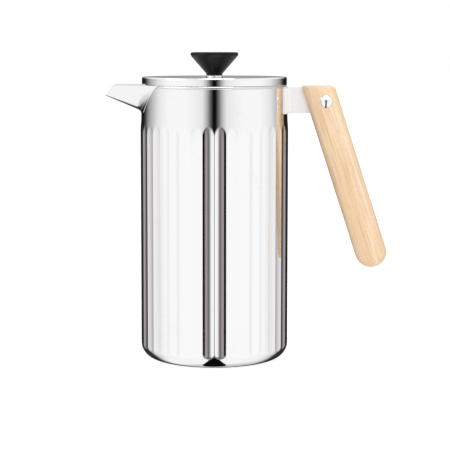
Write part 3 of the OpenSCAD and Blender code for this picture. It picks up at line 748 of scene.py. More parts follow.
# %% Find the mouth, the seam and the flange's edge
MOUTH_LEAN, FOLD_SHARE = np.radians(38), 0.42
TIP_R, ROOT_R = 3.6 * MM, 17 * MM
along = np.array([np.cos(KEEL_ANGLE), 0, -np.sin(KEEL_ANGLE)])
upright = np.array([np.sin(KEEL_ANGLE), 0, np.cos(KEEL_ANGLE)])
tip = np.array([tip_x, 0, tip_z])
mouth_slope = np.tan(MOUTH_LEAN - KEEL_ANGLE)
fold_turn = np.pi / 2 - FOLD


def on_beak(y, u, s):
    """A point s along the keel, u above it and y to the side."""
    return tip + y[..., None] * np.array([0, 1, 0]) + u[..., None] * upright + s[..., None] * along


def to_neck(y, u, clear=0.0):
    """How far along the keel the line at (y, u) meets the neck: solved by repeating, since the
    neck's radius depends on the height that is reached."""
    s = np.full_like(y, reach)
    for _ in range(12):
        z = tip_z + u * np.cos(KEEL_ANGLE) - s * np.sin(KEEL_ANGLE)
        x = -np.sqrt(np.clip((neck_radius(z) + clear) ** 2 - y ** 2, 0, None))
        s = (x - tip_x - u * np.sin(KEEL_ANGLE)) / np.cos(KEEL_ANGLE)
    return s


def beak_section(across, radius, leg, middle):
    """Side y and height u of the folded section. across runs from -1 to 1. The middle share is the
    fold, an arc of that radius about a centre at height middle, and the rest runs straight up the two
    sides over a length leg."""
    part = np.abs(across)
    turn = np.clip(part / FOLD_SHARE, 0, 1) * fold_turn
    q = np.clip((part - FOLD_SHARE) / (1 - FOLD_SHARE), 0, 1) * leg
    y = radius * np.sin(turn) + q * np.sin(FOLD)
    return np.sign(across) * y, middle - radius * np.cos(turn) + q * np.cos(FOLD)


def leg_to_rim(radius, middle, at_neck):
    """Length of a side from the fold to the height of the rim, at the mouth or at the neck."""
    leg = np.array(9.0 * MM)
    for _ in range(60):
        y = radius * np.cos(FOLD) + leg * np.sin(FOLD)
        u = middle - radius * np.sin(FOLD) + leg * np.cos(FOLD)
        s = to_neck(y, u) if at_neck else u * mouth_slope
        z = tip_z + u * np.cos(KEEL_ANGLE) - s * np.sin(KEEL_ANGLE)
        leg = leg + 0.6 * (rim_z - z)
    return leg


across = np.linspace(-1, 1, 121)
across = np.sign(across) * np.abs(across) ** 1.15


def mouth_and_seam(inset):
    """The section's points at the mouth's slanted cut, and where the same lines reach the neck. The
    fold opens from a tight one at the tip to a wide one at the neck, so the keel is part of a cone."""
    radius = TIP_R - inset
    y, u = beak_section(across, radius, leg_to_rim(radius, TIP_R, False), TIP_R)
    mouth = on_beak(y, u, u * mouth_slope)
    radius = ROOT_R - inset
    y, u = beak_section(across, radius, leg_to_rim(radius, ROOT_R, True), ROOT_R)
    return mouth, on_beak(y, u, to_neck(y, u))


mouth_out, seam_out = mouth_and_seam(0)
mouth_in, seam_in = mouth_and_seam(SPOUT_T)
FLANGE_LOW, FLANGE_BEND, FLANGE_HALF = 174.6 * MM, (14.5 * MM, 175.2 * MM), 32.3 * MM
flange = rounded([(0, FLANGE_LOW), FLANGE_BEND, (FLANGE_HALF, rim_z), (0, rim_z)], [0, 6 * MM, 0, 0], 12)[:-1]
lengths = np.concatenate([[0], np.cumsum(np.linalg.norm(np.diff(flange, axis=0), axis=1))])
share = np.abs(across) ** 0.85
edge_y = np.sign(across) * np.interp(share * lengths[-1], lengths, flange[:, 0])
edge_z = np.interp(share * lengths[-1], lengths, flange[:, 1])


def on_neck(y, z, proud):
    """The neck's surface at side y and height z, raised by proud."""
    r = neck_radius(z) + proud
    turn = np.arcsin(np.clip(y / neck_radius(z), -1, 1))
    return np.stack([-r * np.cos(turn), r * np.sin(turn), z], -1)


edge_out = on_neck(edge_y, edge_z, 0.03 * MM)
edge_in = on_neck(edge_y, edge_z, 0.01 * MM)
print("seam half width at the rim:", round(seam_out[-1, 1] * 1000, 1), "mm")

# %% Build the spout
ease = np.linspace(0, 1, 22)[1:, None, None]
start_back = (0.10 + 0.16 * np.abs(across) ** 1.5)[:, None]
hollow_start = seam_out + (mouth_out - seam_out) * start_back
straight = np.linspace(0, 1, 14)[:, None, None]
side_rows = mouth_out + (hollow_start - mouth_out) * straight
hollow_rows = (1 - ease) ** 2 * hollow_start + 2 * ease * (1 - ease) * seam_out + ease ** 2 * edge_out
radial = np.hypot(hollow_rows[..., 0], hollow_rows[..., 1])
least = neck_radius(hollow_rows[..., 2]) + (0.03 + 0.45 * (1 - ease[..., 0])) * MM
lifted = -smaller(-radial, -least, 0.25 * MM)
hollow_rows[..., :2] *= (np.where(radial > least + MM, radial, lifted) / radial)[..., None]
under_side = mouth_in + (seam_in - mouth_in) * straight
under_rows = seam_in + (edge_in - seam_in) * ease
radial = np.hypot(under_rows[..., 0], under_rows[..., 1])
under_rows[..., :2] *= ((neck_radius(under_rows[..., 2]) + 0.01 * MM) / radial)[..., None]
spout_shape = sheet(np.concatenate([side_rows, hollow_rows]), np.concatenate([under_side, under_rows]))
piece("folded_spout", spout_shape, "polished_steel", "pot", "spout")

# %% [markdown]
# ## The handle's bracket
# A flat plate stands out from the neck and runs into a saw slot in the wooden grip. A curved saddle
# spreads its load over the thin neck. The plate is a sheet between two flat grids. Its half thickness
# is a formula too: it swells in a quarter circle where it is welded to the saddle, and its long edges
# are rounded.

# %% Outline of the grip, seen from the side
grip_low, grip_high = span("handle_grip")
plate_low, plate_high = span("handle_bracket")
GRIP_HALF, GRIP_EDGE, GRIP_CORNER, SLOT_FIT = 11.05 * MM, 6.5 * MM, 3.4 * MM, 0.05 * MM
grip_top, grip_depth = grip_high[2], grip_high[1]
half_level = GRIP_HALF / np.cos(GRIP_LEAN)
end_x = grip_high[0] - GRIP_HALF
end_z = grip_low[2] + GRIP_HALF
corner_z = grip_top - GRIP_CORNER


def grip_middle(z):
    """Where the grip's centre line is at height z."""
    return end_x - (z - end_z) * np.tan(GRIP_LEAN)


def grip_left(z):
    """The side towards the pot: the leaning line, then the round end's left half."""
    low = end_x - np.sqrt(np.clip(GRIP_HALF ** 2 - (z - end_z) ** 2, 0, None))
    return np.where(z > end_z - GRIP_HALF * np.sin(GRIP_LEAN), grip_middle(z) - half_level, low)


def grip_right(z):
    """The outer side: the round top corner, the leaning line, then the round end's right half."""
    line = grip_middle(z) + half_level
    centre = grip_middle(corner_z) + half_level - GRIP_CORNER / np.cos(GRIP_LEAN)
    arc = centre + np.sqrt(np.clip(GRIP_CORNER ** 2 - (z - corner_z) ** 2, 0, None))
    low = end_x + np.sqrt(np.clip(GRIP_HALF ** 2 - (z - end_z) ** 2, 0, None))
    touch = corner_z + GRIP_CORNER * np.sin(GRIP_LEAN)
    return np.where(z > touch, arc, np.where(z > end_z + GRIP_HALF * np.sin(GRIP_LEAN), line, low))


corner_width = grip_right(corner_z) - grip_left(corner_z)
print("grip is", round(corner_width * 1000, 1), "mm wide at its top corner")

# %% Build the bracket
PLATE_HALF, SADDLE_T, SADDLE_HALF = 1.0 * MM, 1.2 * MM, np.radians(19)
WELD_R, PLATE_ROUND, SADDLE_ROUND = 1.6 * MM, 0.35 * MM, 0.3 * MM
saddle_top = shell_top - 0.3 * MM


def edged(low, high, count, edge):
    """Values from low to high, with extra ones within edge of both ends."""
    close = edge * (1 - np.cos(np.linspace(0, np.pi / 2, 6)))
    between = np.linspace(low + edge, high - edge, count)[1:-1]
    return np.concatenate([low + close, between, high - close[::-1]])


plate_z = edged(plate_low[2], plate_high[2], 14, PLATE_ROUND)[:, None]
plate_from = neck_radius(plate_z) + SADDLE_T * 0.6
plate_to = grip_right(plate_z) - 0.02 * MM
plate_share = np.concatenate([np.linspace(0, 0.04, 9), np.linspace(0.04, 0.98, 14)[1:-1],
                              1 - 0.02 * np.linspace(1, 0, 9) ** 2])[None, :]
plate_x = plate_from + (plate_to - plate_from) * plate_share
from_edge = np.minimum(np.minimum(plate_z - plate_low[2], plate_high[2] - plate_z), plate_to - plate_x)
swell = WELD_R - np.sqrt(WELD_R ** 2 - np.clip(WELD_R - (plate_x - plate_from), 0, WELD_R) ** 2)
half_thick = PLATE_HALF + swell - dip(from_edge, PLATE_ROUND)
plate_front = np.stack([plate_x, -half_thick, plate_z + 0 * plate_x], -1)
plate_shape = sheet(plate_front, plate_front * np.array([1, -1, 1]))
saddle_turn = edged(-SADDLE_HALF, SADDLE_HALF, 26, SADDLE_ROUND / body_r)[None, :]
saddle_z = edged(plate_low[2], saddle_top, 12, SADDLE_ROUND)[:, None]
from_side = np.minimum(saddle_z - plate_low[2], saddle_top - saddle_z)
from_side = np.minimum(from_side, (SADDLE_HALF - np.abs(saddle_turn)) * body_r)
outer_r = neck_radius(saddle_z) + SADDLE_T - dip(from_side, SADDLE_ROUND)
inner_r = neck_radius(saddle_z) + 0.02 * MM + 0 * saddle_turn
saddle_faces = [np.stack([r * np.cos(saddle_turn), r * np.sin(saddle_turn), saddle_z + 0 * r], -1)
                for r in (outer_r, inner_r)]
piece("bracket_plate_and_saddle", joined(plate_shape, sheet(*saddle_faces)), "blasted_steel", "pot",
      "handle_bracket")

# %% [markdown]
# ## The wooden grip
# The grip is a beech bar with well-rounded edges, cut level at the top and turned to a half round at
# the foot. It is built from level slices: each slice is the same rounded rectangle, stretched to the
# left and right outlines at its height and to a depth that shrinks towards the foot. The saw slot is
# left open by dropping the cells in the middle of both edges and lining it with two flat walls and a
# floor, whose points are the same as the slices' own, so that they merge into one closed skin.

# %% Build the grip
slot_half = PLATE_HALF + SLOT_FIT
slot_floor = plate_low[2] - 1.2 * MM
TOP_ROUND = 0.7 * MM
top_rows = grip_top - TOP_ROUND * (1 - np.cos(np.linspace(0, np.pi / 2, 6)))
end_rows = grip_low[2] + 14 * MM * (1 - np.cos(np.linspace(0, np.pi / 2, 30)))
heights = np.concatenate([top_rows, np.linspace(top_rows[-1], slot_floor, 26)[1:],
                          np.linspace(slot_floor, end_rows[-1], 40)[1:-1], end_rows[::-1]])
slot_row = int(np.argmin(np.abs(heights - slot_floor)))
flat_y = grip_depth - GRIP_EDGE
edge_turn = np.linspace(0, np.pi / 2, 11)
level_edge = GRIP_EDGE / np.cos(GRIP_LEAN)
quarter_x = np.concatenate([[half_level] * 2, half_level - level_edge + level_edge * np.cos(edge_turn),
                            np.linspace(half_level - level_edge, 0, 5)[1:]]) / half_level
quarter_y = np.concatenate([[slot_half, (slot_half + flat_y) / 2], flat_y + GRIP_EDGE * np.sin(edge_turn),
                            [grip_depth] * 4]) / grip_depth
half_x = np.concatenate([quarter_x, -quarter_x[-2::-1]])
half_y = np.concatenate([quarter_y, quarter_y[-2::-1]])
shrink = dip(grip_top - heights, TOP_ROUND)[:, None]
left, right = grip_left(heights)[:, None] + shrink, grip_right(heights)[:, None] - shrink
above_foot = np.clip(heights - grip_low[2], 0, GRIP_EDGE)[:, None]
depth = grip_depth - GRIP_EDGE + np.sqrt(GRIP_EDGE ** 2 - (GRIP_EDGE - above_foot) ** 2) - shrink
slot_share = slot_half / grip_depth
slice_x = (left + right) / 2 + (right - left) / 2 * half_x
slice_y = np.where(half_y > slot_share * 1.001, depth * half_y, slot_half)
level = heights[:, None] + 0 * slice_x
back, front = np.stack([slice_x, slice_y, level], -1), np.stack([slice_x, -slice_y, level], -1)


def strip(a, b):
    """The faces between two rows or columns of points of the same length."""
    return skin(np.stack([a, b]))


def slot_wall(side):
    """A flat wall of the slot, from one edge of the slices to the other."""
    wall = side[: slot_row + 1].copy()
    wall[..., 1] = np.sign(side[0, 5, 1]) * slot_half
    return wall


cheeks = []
for side in (front, back):
    wall = slot_wall(side)
    cheeks += [skin(side), skin(wall), strip(side[0], wall[0])]
floor_front, floor_back = slot_wall(front)[-1], slot_wall(back)[-1]
edges_below = [strip(front[slot_row:, k], back[slot_row:, k]) for k in (0, -1)]
grip_shape = joined(*cheeks, strip(floor_front, floor_back), *edges_below, strip(front[-1], back[-1]))
piece("beech_grip", grip_shape, "beech", "pot", "handle_grip")

# %% [markdown]
# ## The handle's fixing
# A barrel nut with a domed head goes through the grip and the plate from one side, and a screw with
# a hexagon socket goes into it from the other. Both heads are turned profiles laid on their side.
# The socket is the same turned profile, except that near the axis its radius follows a hexagon.

# %% Build the barrel nut and the screw
nut_low, nut_high = span("handle_barrel_nut")
screw_low = span("handle_screw")[0]
fixing_x, fixing_z = (nut_low[0] + nut_high[0]) / 2, (nut_low[2] + nut_high[2]) / 2
head_r = (nut_high[0] - nut_low[0]) / 2
head_h = -nut_low[1] - grip_depth
SHANK_R, SCREW_R, SOCKET_R = 2.5 * MM, 1.5 * MM, 1.5 * MM


def hexagon(radius, turn):
    """Radius of a hexagon at an angle, for a circle through its corners."""
    return radius * np.cos(np.pi / 6) / np.cos(np.mod(turn, np.pi / 3) - np.pi / 6)


def laid(shape, base_y, out):
    """A shape turned about Z, laid along Y from base_y, with its top towards out (-1 or 1)."""
    points, faces = shape
    x, y, z = points.T
    return np.stack([fixing_x + x, base_y + out * z, fixing_z + y], -1), faces


dome_r = (head_r ** 2 + head_h ** 2) / (2 * head_h)
dome_turn = np.linspace(0, np.arcsin((head_r - 0.12 * MM) / dome_r), 18)
dome = np.stack([dome_r * np.sin(dome_turn), head_h - dome_r * (1 - np.cos(dome_turn))], 1)
head_edge = [[head_r, dome[-1, 1] - 0.12 * MM], [head_r, 0.08 * MM], [head_r - 0.08 * MM, 0]]
nut_length = nut_high[1] + grip_depth
barrel = np.array([[SHANK_R, 0], [SHANK_R, -nut_length + 0.3 * MM], [SHANK_R - 0.3 * MM, -nut_length],
                   [SCREW_R + 0.08 * MM, -nut_length], [SCREW_R + 0.05 * MM, -1.2 * MM], [0, -1.2 * MM]])
nut_shape = laid(turned(np.concatenate([dome, head_edge, barrel]), 72), -grip_depth, -1)
piece("domed_barrel_nut", nut_shape, "polished_steel", "pot", "handle_barrel_nut")

screw_length = grip_depth - screw_low[1]
dome = dome[dome[:, 0] > SOCKET_R * 1.12]
socket = np.array([[0, 0.35 * MM], [SOCKET_R, 0.35 * MM], [SOCKET_R, dome[0, 1] - 0.05 * MM]])
shank = np.array([[SCREW_R, 0], [SCREW_R, -screw_length + 0.4 * MM], [SCREW_R - 0.4 * MM, -screw_length],
                  [0, -screw_length]])


def socketed(radius, turn):
    """The first rows of the profile are a hexagon, the rest stay round."""
    rows = np.arange(radius.shape[1]) < len(socket)
    return np.where(rows, hexagon(radius, turn), radius)


screw_shape = laid(turned(np.concatenate([socket, dome, head_edge, shank]), 72, socketed), grip_depth, 1)
piece("socket_screw", screw_shape, "polished_steel", "pot", "handle_screw")

# %% [markdown]
# ## The lid
# The lid is a shallow steel cover with a soft outer edge. A flanged bush in its middle guides the
# rod, and a nut holds the bush from below. Under it hangs the strainer, a cup with a row of slots,
# which turns until the slots face the spout. Cover, bush and nut are turned profiles. The nut's
# radius follows a hexagon, cut by a cone at both ends, as a real nut's corners are.

# %% Build the cover, the bush and the nut
lid_low, lid_high = span("lid_cover")
bush_low, bush_high = span("lid_bush")
lid_nut_low, lid_nut_high = span("lid_nut")
rod_low, rod_high = span("plunger_rod")
rod_r, lid_r, lid_top = rod_high[0], lid_high[0], lid_high[2]
SHEET_T, FIT, SEAT = 0.8 * MM, 0.07 * MM, 0.24 * MM
bush_r = rod_r + 1.9 * MM
lid_edge = lid_low[2] - SEAT
cover_profile = rounded([(bush_r, lid_top - SHEET_T), (bush_r, lid_top), (lid_r - 1.3 * MM, lid_top),
                         (lid_r, lid_top), (lid_r, lid_top - 1.3 * MM), (lid_r, lid_edge + 0.15 * MM),
                         (lid_r, lid_edge), (lid_r - SHEET_T, lid_edge),
                         (lid_r - SHEET_T, lid_top - SHEET_T)],
                        [0, 0, 0, 1.1 * MM, 0, 0, 0.06 * MM, 0.1 * MM, 0.5 * MM], 10)
piece("lid_cover_turned", turned(cover_profile, 256), "polished_steel", "lid", "lid_cover")

bore = rod_r + FIT
flange_r, flange_top = bush_high[0], bush_high[2]
bush_profile = rounded([(bore, bush_low[2]), (bush_r, bush_low[2]), (bush_r, lid_top), (flange_r, lid_top),
                        (flange_r, flange_top), (bore, flange_top)],
                       [0.15 * MM, 0.3 * MM, 0, 0.1 * MM, 0.35 * MM, 0.2 * MM], 5)
piece("flanged_bush", turned(bush_profile, 96), "polished_steel", "lid", "lid_bush")


def nut_shape(corner_r, bore_r, low, high, closed=False):
    """A hexagon nut: the corner cones are part of the profile, and the hexagon trims them."""
    cone = 0.5 * MM
    end = [(0, low), (bore_r * 0.6, low)] if closed else [(bore_r, low + cone / 2), (bore_r + cone / 2, low)]
    profile = np.array(end + [(corner_r * 0.86, low), (corner_r, low + cone), (corner_r, high - cone),
                              (corner_r * 0.86, high), (bore_r + cone / 2, high), (bore_r, high - cone / 2)]
                       + ([(bore_r, low + 0.5 * MM), (0, low + 0.5 * MM)] if closed else []))

    def trimmed(radius, turn):
        return np.where(radius > corner_r * 0.8, np.minimum(radius, hexagon(corner_r, turn)), radius)
    return turned(profile, 120, trimmed)


piece("lid_hexagon_nut", nut_shape(lid_nut_high[0], bush_r, lid_nut_low[2], lid_nut_high[2]),
      "satin_steel", "lid", "lid_nut")

# %% [markdown]
# ## The strainer
# The strainer's profile runs from the hole in its disc, over a rounded shoulder and down the skirt.
# It is a sheet: an outer grid and an inner one, a wall's thickness apart, carried round the axis. The
# columns are spaced so that two of them bound every slot, and the slots are cells left out of the
# mask, so that the sheet helper lines each one by itself.

# %% Build the strainer
strainer_low, strainer_high = span("lid_strainer")
SLOTS, SLOT_W, SLOT_PITCH, SLOT_MARGIN = 21, 1.6 * MM, np.radians(4), 2 * MM
skirt_r, skirt_low, disc_top = strainer_high[0], strainer_low[2], strainer_high[2]
slot_half_turn = SLOT_W / 2 / skirt_r
slot_middles = np.pi + (np.arange(SLOTS) - (SLOTS - 1) / 2) * SLOT_PITCH
slot_edges = (slot_middles[:, None] + np.array([-1, -0.5, 0, 0.5, 1]) * slot_half_turn).ravel()
plain = np.linspace(slot_edges[-1], slot_edges[0] + 2 * np.pi, 110)[1:-1]
skirt_turns = np.concatenate([slot_edges, plain])
slot_top = rim_z - SLOT_MARGIN
shoulder = np.linspace(0, np.pi / 2, 8)


def skirt_profile(inset, bend):
    """The strainer's section, drawn in by inset: disc, round shoulder, skirt with the slots' ends."""
    top, side = disc_top - inset, skirt_r - inset
    arc = np.stack([side - bend + bend * np.sin(shoulder), top - bend + bend * np.cos(shoulder)], 1)
    slot_low = skirt_low + SLOT_MARGIN
    down = [[side, z] for z in (slot_top, slot_top - 0.25 * MM, slot_low + 0.25 * MM, slot_low,
                                skirt_low + 0.4 * MM, skirt_low + 0.02 * MM * (inset > 0))]
    return np.concatenate([[[bush_r + FIT, top]], [[side * 0.5, top]], arc, down])


def carried(profile, angles):
    """A profile of (radius, height) at every angle, as rows by angle."""
    t = angles[:, None]
    return np.stack([profile[:, 0] * np.cos(t), profile[:, 0] * np.sin(t), profile[:, 1] + 0 * t], -1)


skirt_out = carried(skirt_profile(0, 1.6 * MM), skirt_turns)
skirt_in = carried(skirt_profile(SHEET_T, 0.8 * MM), skirt_turns)
rows, columns = np.arange(len(skirt_turns)), np.arange(skirt_out.shape[1] - 1)
slotted = (rows[:, None] < 5 * SLOTS - 1) & (rows[:, None] % 5 < 4) & (columns >= 10) & (columns < 13)
piece("slotted_strainer", sheet(skirt_out, skirt_in, ~slotted, True), "satin_steel", "strainer",
      "lid_strainer")

# %% [markdown]
# ## Rod, collar, knob and insert
# These four are turned pieces in the workshop too. The knob is moulded in black plastic round a
# knurled brass insert that takes the rod's thread. Its top is very slightly dished and its edge is
# round enough to press with a flat hand. The dish shows only as a soft change in the gloss.

# %% Build the rod, the collar, the knob and the insert
rod_profile = rounded([(0, rod_low[2]), (rod_r, rod_low[2]), (rod_r, rod_high[2]), (0, rod_high[2])],
                      [0, 0.5 * MM, 0.5 * MM, 0], 6)
piece("plunger_rod_turned", turned(rod_profile, 64), "satin_steel", "plunger", "plunger_rod")

collar_low, collar_high = span("rod_collar")
collar_r, collar_top = collar_high[0], collar_high[2]
groove_z, GROOVE = (collar_low[2] + collar_top) / 2, 0.5 * MM
collar_profile = rounded([(rod_r, collar_low[2]), (collar_r, collar_low[2]), (collar_r, groove_z - GROOVE),
                          (collar_r - GROOVE, groove_z), (collar_r, groove_z + GROOVE),
                          (collar_r, collar_top), (rod_r, collar_top)],
                         [0, 0.3 * MM, 0.2 * MM, 0.3 * MM, 0.2 * MM, 0.7 * MM, 0], 5)
piece("rod_collar_turned", turned(collar_profile, 72), "satin_steel", "plunger", "rod_collar")

knob_low, knob_high = span("knob")
insert_low, insert_high = span("knob_insert")
knob_r, knob_z, knob_top = knob_high[0], knob_low[2], knob_high[2]
NECK_R, NECK_H, DISH = 5.7 * MM, 1.0 * MM, 0.25 * MM
insert_r, insert_top = insert_high[0], insert_high[2]
knob_profile = rounded([(rod_r + 0.2 * MM, insert_low[2]), (rod_r + 0.2 * MM, knob_z), (NECK_R, knob_z),
                        (NECK_R, knob_z + NECK_H), (NECK_R + 0.7 * MM, knob_z + NECK_H + 0.9 * MM),
                        (knob_r - 0.75 * MM, knob_top - 3.0 * MM), (knob_r, knob_top - 1.9 * MM),
                        (knob_r - 0.25 * MM, knob_top), (knob_r - 3.4 * MM, knob_top),
                        (knob_r * 0.45, knob_top - DISH), (0, knob_top - DISH),
                        (0, insert_top), (insert_r, insert_top), (insert_r, insert_low[2])],
                       [0, 0.2 * MM, 0.3 * MM, 0.5 * MM, 1.2 * MM, 1.6 * MM, 0.9 * MM, 1.3 * MM,
                        5 * MM, 4 * MM, 0, 0, 0, 0], 10)
piece("knob_turned", turned(knob_profile, 160), "black_plastic", "knob", "knob")

KNURLS, KNURL = 24, 0.12 * MM
insert_heights = np.linspace(insert_low[2], insert_top, 14)
insert_profile = np.concatenate([[[insert_r, z] for z in insert_heights], [[0, insert_top]],
                                 [[0, rod_high[2] + 0.4 * MM], [rod_r + FIT, rod_high[2] + 0.4 * MM]],
                                 [[rod_r + FIT, insert_low[2]]]])


def knurled(radius, turn):
    """Small ridges along the insert, so that it can't turn in the plastic."""
    ridge = KNURL * (1 - np.abs(np.sin(KNURLS * turn / 2)))
    outer = np.arange(radius.shape[1]) < len(insert_heights)
    return np.where(outer, radius - ridge, radius)


piece("knurled_insert", turned(insert_profile, 192, knurled), "brass", "knob", "knob_insert")

# %% [markdown]
# ## Pierced plates
# The filter is a stack: a spring plate with round holes and a turned-up rim, the woven mesh, and a
# cross plate with four large windows. A round hole in a polar grid would come out ragged. So each
# sector of a plate gets its own grid, round its window: one parameter goes round the window and the
# other goes out from the window's edge to the sector's edge. Both edges are found by casting rays
# from the window's middle to the nearest of a few circles and lines.

# %% Rays, sectors and the cross plate
RAYS = 72


def nearest_hit(origin, rays, circles=(), lines=()):
    """Distance along each ray to the nearest of the circles about the axis and the lines n.p = d."""
    hits = []
    for radius in circles:
        b, c = rays @ origin, origin @ origin - radius ** 2
        root = np.sqrt(np.clip(b ** 2 - c, 0, None))
        for t in (-b - root, -b + root):
            hits.append(np.where((t > 1e-7) & (b ** 2 > c), t, np.inf))
    for normal, d in lines:
        with np.errstate(divide="ignore"):
            t = (d - normal @ origin) / (rays @ normal)
        hits.append(np.where(t > 1e-7, t, np.inf))
    return np.min(hits, 0)


def sector_plate(count, middle_r, window, low_r, high_r, bottom, top):
    """A flat plate of equal sectors, each pierced by one window. window(origin, rays) gives the
    window's edge. The sector's edge is its two radial lines and the plate's inner and outer circle."""
    half = np.pi / count
    origin = np.array([middle_r, 0.0])
    ends = [(r, s * half) for r in (low_r, high_r) for s in (-1, 1)]
    corners = [np.arctan2(r * np.sin(turn), r * np.cos(turn) - middle_r) for r, turn in ends]
    angles = np.sort(np.concatenate([np.linspace(-np.pi, np.pi, RAYS, endpoint=False), corners]))
    rays = np.stack([np.cos(angles), np.sin(angles)], 1)
    sides = [(np.array([-np.sin(half), np.cos(half)]), 0.0), (np.array([-np.sin(half), -np.cos(half)]), 0.0)]
    outer = nearest_hit(origin, rays, (low_r, high_r), sides)
    inner = np.minimum(window(origin, rays), outer - 0.02 * MM)
    parts = []
    for k in range(count):
        turn = 2 * np.pi * k / count
        spin = np.array([[np.cos(turn), np.sin(turn)], [-np.sin(turn), np.cos(turn)]])
        rings = [(origin + rays * (inner + (outer - inner) * f)[:, None]) @ spin for f in (0, 0.5, 1)]
        flat = np.stack([np.stack([np.pad(ring, ((0, 0), (0, 1)), constant_values=z) for ring in rings], 1)
                         for z in (top, bottom)])
        closed = np.concatenate([flat[0], flat[1][:, ::-1]], 1)
        cells = grid_cells(*closed.shape[:2], True, True)
        inside_plate = np.ones(cells.shape[:2], bool)
        between = (outer + np.roll(outer, -1)) / 2
        middle_ray = rays + np.roll(rays, -1, 0)
        middle_ray /= np.linalg.norm(middle_ray, axis=1, keepdims=True)
        rim_point = origin + middle_ray * between[:, None]
        on_side = np.abs(np.abs(np.arctan2(rim_point[:, 1], rim_point[:, 0])) - half) < 0.004
        inside_plate[:, 2] = ~on_side
        parts.append((closed.reshape(-1, 3), cells[inside_plate]))
    return joined(*parts)


cross_low, cross_high = span("cross_plate")
plate_r, ARM_HALF, RING_W, HUB_R = cross_high[0], 4.5 * MM, 6 * MM, rod_r + 8 * MM


def cross_window(origin, rays):
    """The window between two arms: the ring's inner circle, the hub and both arms' straight sides."""
    turn = np.pi / 4
    arms = [(np.array([-np.sin(turn), s * np.cos(turn)]), -ARM_HALF) for s in (1, -1)]
    return nearest_hit(origin, rays, (HUB_R, plate_r - RING_W), arms)


window_r = (HUB_R + plate_r - RING_W) / 2 + 2 * MM
flat_plate, cross_faces = sector_plate(4, window_r, cross_window, rod_r + FIT, plate_r,
                                       cross_low[2], cross_high[2])
spin = np.pi / 4
cross_points = flat_plate.copy()
cross_points[:, 0] = flat_plate[:, 0] * np.cos(spin) - flat_plate[:, 1] * np.sin(spin)
cross_points[:, 1] = flat_plate[:, 0] * np.sin(spin) + flat_plate[:, 1] * np.cos(spin)
piece("cross_plate_pressed", (cross_points, cross_faces), "satin_steel", "filter", "cross_plate")

# %% Build the spring plate
spring_low, spring_high = span("spring_plate")
HOLE_R, MARGIN, WEB = 5 * MM, 7 * MM, 2 * MM
rim_r, plate_bottom, rim_top = spring_high[0], spring_low[2], spring_high[2]
plate_top = plate_bottom + SHEET_T
hole_ring = rim_r - MARGIN - HOLE_R
holes = int(2 * np.pi * hole_ring / (2 * HOLE_R + WEB))
band_in, band_out = hole_ring - HOLE_R - 1.5 * MM, hole_ring + HOLE_R + 1.5 * MM
rim_section = rounded([(band_out, plate_bottom), (rim_r, plate_bottom), (rim_r, rim_top),
                       (rim_r - SHEET_T, rim_top), (rim_r - SHEET_T, plate_top), (band_out, plate_top)],
                      [0, 1.0 * MM, 0.3 * MM, 0.3 * MM, 0.4 * MM, 0], 6)
hub_section = np.array([(bore, plate_top), (bore, plate_bottom), (band_in, plate_bottom),
                        (band_in, plate_top)])
pierced = sector_plate(holes, hole_ring, lambda origin, rays: np.full(len(rays), HOLE_R), band_in, band_out,
                       plate_bottom, plate_top)
spring_shape = joined(turned(hub_section, 192), pierced, turned(rim_section, 192))
piece("pierced_spring_plate", spring_shape, "satin_steel", "filter", "spring_plate")

# %% [markdown]
# ## The coil spring
# A long, close-wound spring is bent into a ring round the spring plate. It presses the mesh against
# the glass-smooth wall. Its wire runs along a helix that is itself wrapped round a circle: with t
# once round the plate and n t round the coil, the wire's centre is (R + a cos n t) out from the axis
# and a sin n t up. A small circle carried along that path is the wire.

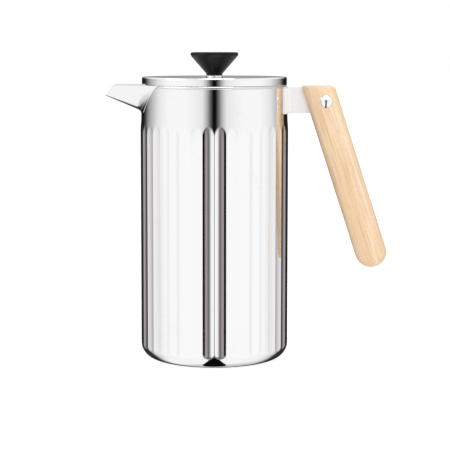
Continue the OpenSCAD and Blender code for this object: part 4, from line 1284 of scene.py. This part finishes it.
# %% Build the coil spring
coil_low, coil_high = span("filter_spring")
coil_z = (coil_low[2] + coil_high[2]) / 2
coil_out = (coil_high[2] - coil_low[2]) / 2
WIRE_R, TURNS, STEPS, SIDES = 0.34 * MM, 240, 12, 6
ring_r, helix_r = coil_high[0] - coil_out, coil_out - WIRE_R
t = np.arange(TURNS * STEPS) * 2 * np.pi / (TURNS * STEPS)
n_t = TURNS * t
outward = np.stack([np.cos(n_t) * np.cos(t), np.cos(n_t) * np.sin(t), np.sin(n_t)], 1)
centre = np.stack([ring_r * np.cos(t), ring_r * np.sin(t), coil_z + 0 * t], 1) + helix_r * outward
tangent = np.roll(centre, -1, 0) - np.roll(centre, 1, 0)
tangent /= np.linalg.norm(tangent, axis=1, keepdims=True)
sideways = np.cross(tangent, outward)
around = np.arange(SIDES) * 2 * np.pi / SIDES
round_wire = np.cos(around)[:, None] * outward[:, None] + np.sin(around)[:, None] * sideways[:, None]
piece("wound_filter_spring", skin(centre[:, None] + WIRE_R * round_wire, True, True), "spring_wire",
      "filter", "filter_spring")

# %% [markdown]
# ## The mesh and its nut
# The mesh is woven from fine wire, with less than a millimetre between crossings, which is too fine
# to model wire by wire. The disc is a turned profile with a folded, slightly wavy edge, and the weave is in
# its finish, with painted shade between the wires. The nut under it is the lid nut's formula again, closed at
# one end like a cap nut.

# %% Build the mesh and the filter nut
mesh_low, mesh_high = span("mesh_filter")
cap_low, cap_high = span("filter_nut")
mesh_r, mesh_z, mesh_top = mesh_high[0], mesh_low[2], mesh_high[2]
ripple_r = np.linspace(bore + MM, mesh_r - 2 * MM, 40)
ripple = 0.06 * MM * (1 - np.cos(ripple_r / (1.6 * MM)))
lower = np.stack([ripple_r, mesh_z + ripple], 1)
upper = np.stack([ripple_r, mesh_top - 0.12 * MM + ripple], 1)[::-1]
mesh_edge = [[mesh_r - 0.2 * MM, mesh_z], [mesh_r, (mesh_z + mesh_top) / 2],
             [mesh_r - 0.2 * MM, mesh_top], [mesh_r - 1.6 * MM, mesh_top]]
mesh_profile = np.concatenate([[[bore, mesh_z]], lower, mesh_edge, upper, [[bore, mesh_top]]])
mesh_profile[:, 1] = np.clip(mesh_profile[:, 1], mesh_z, mesh_top)
piece("woven_mesh_disc", turned(mesh_profile, 160), "woven_mesh", "filter", "mesh_filter")
piece("filter_cap_nut", nut_shape(cap_high[0], bore, cap_low[2], cap_high[2], True), "satin_steel", "filter",
      "filter_nut")
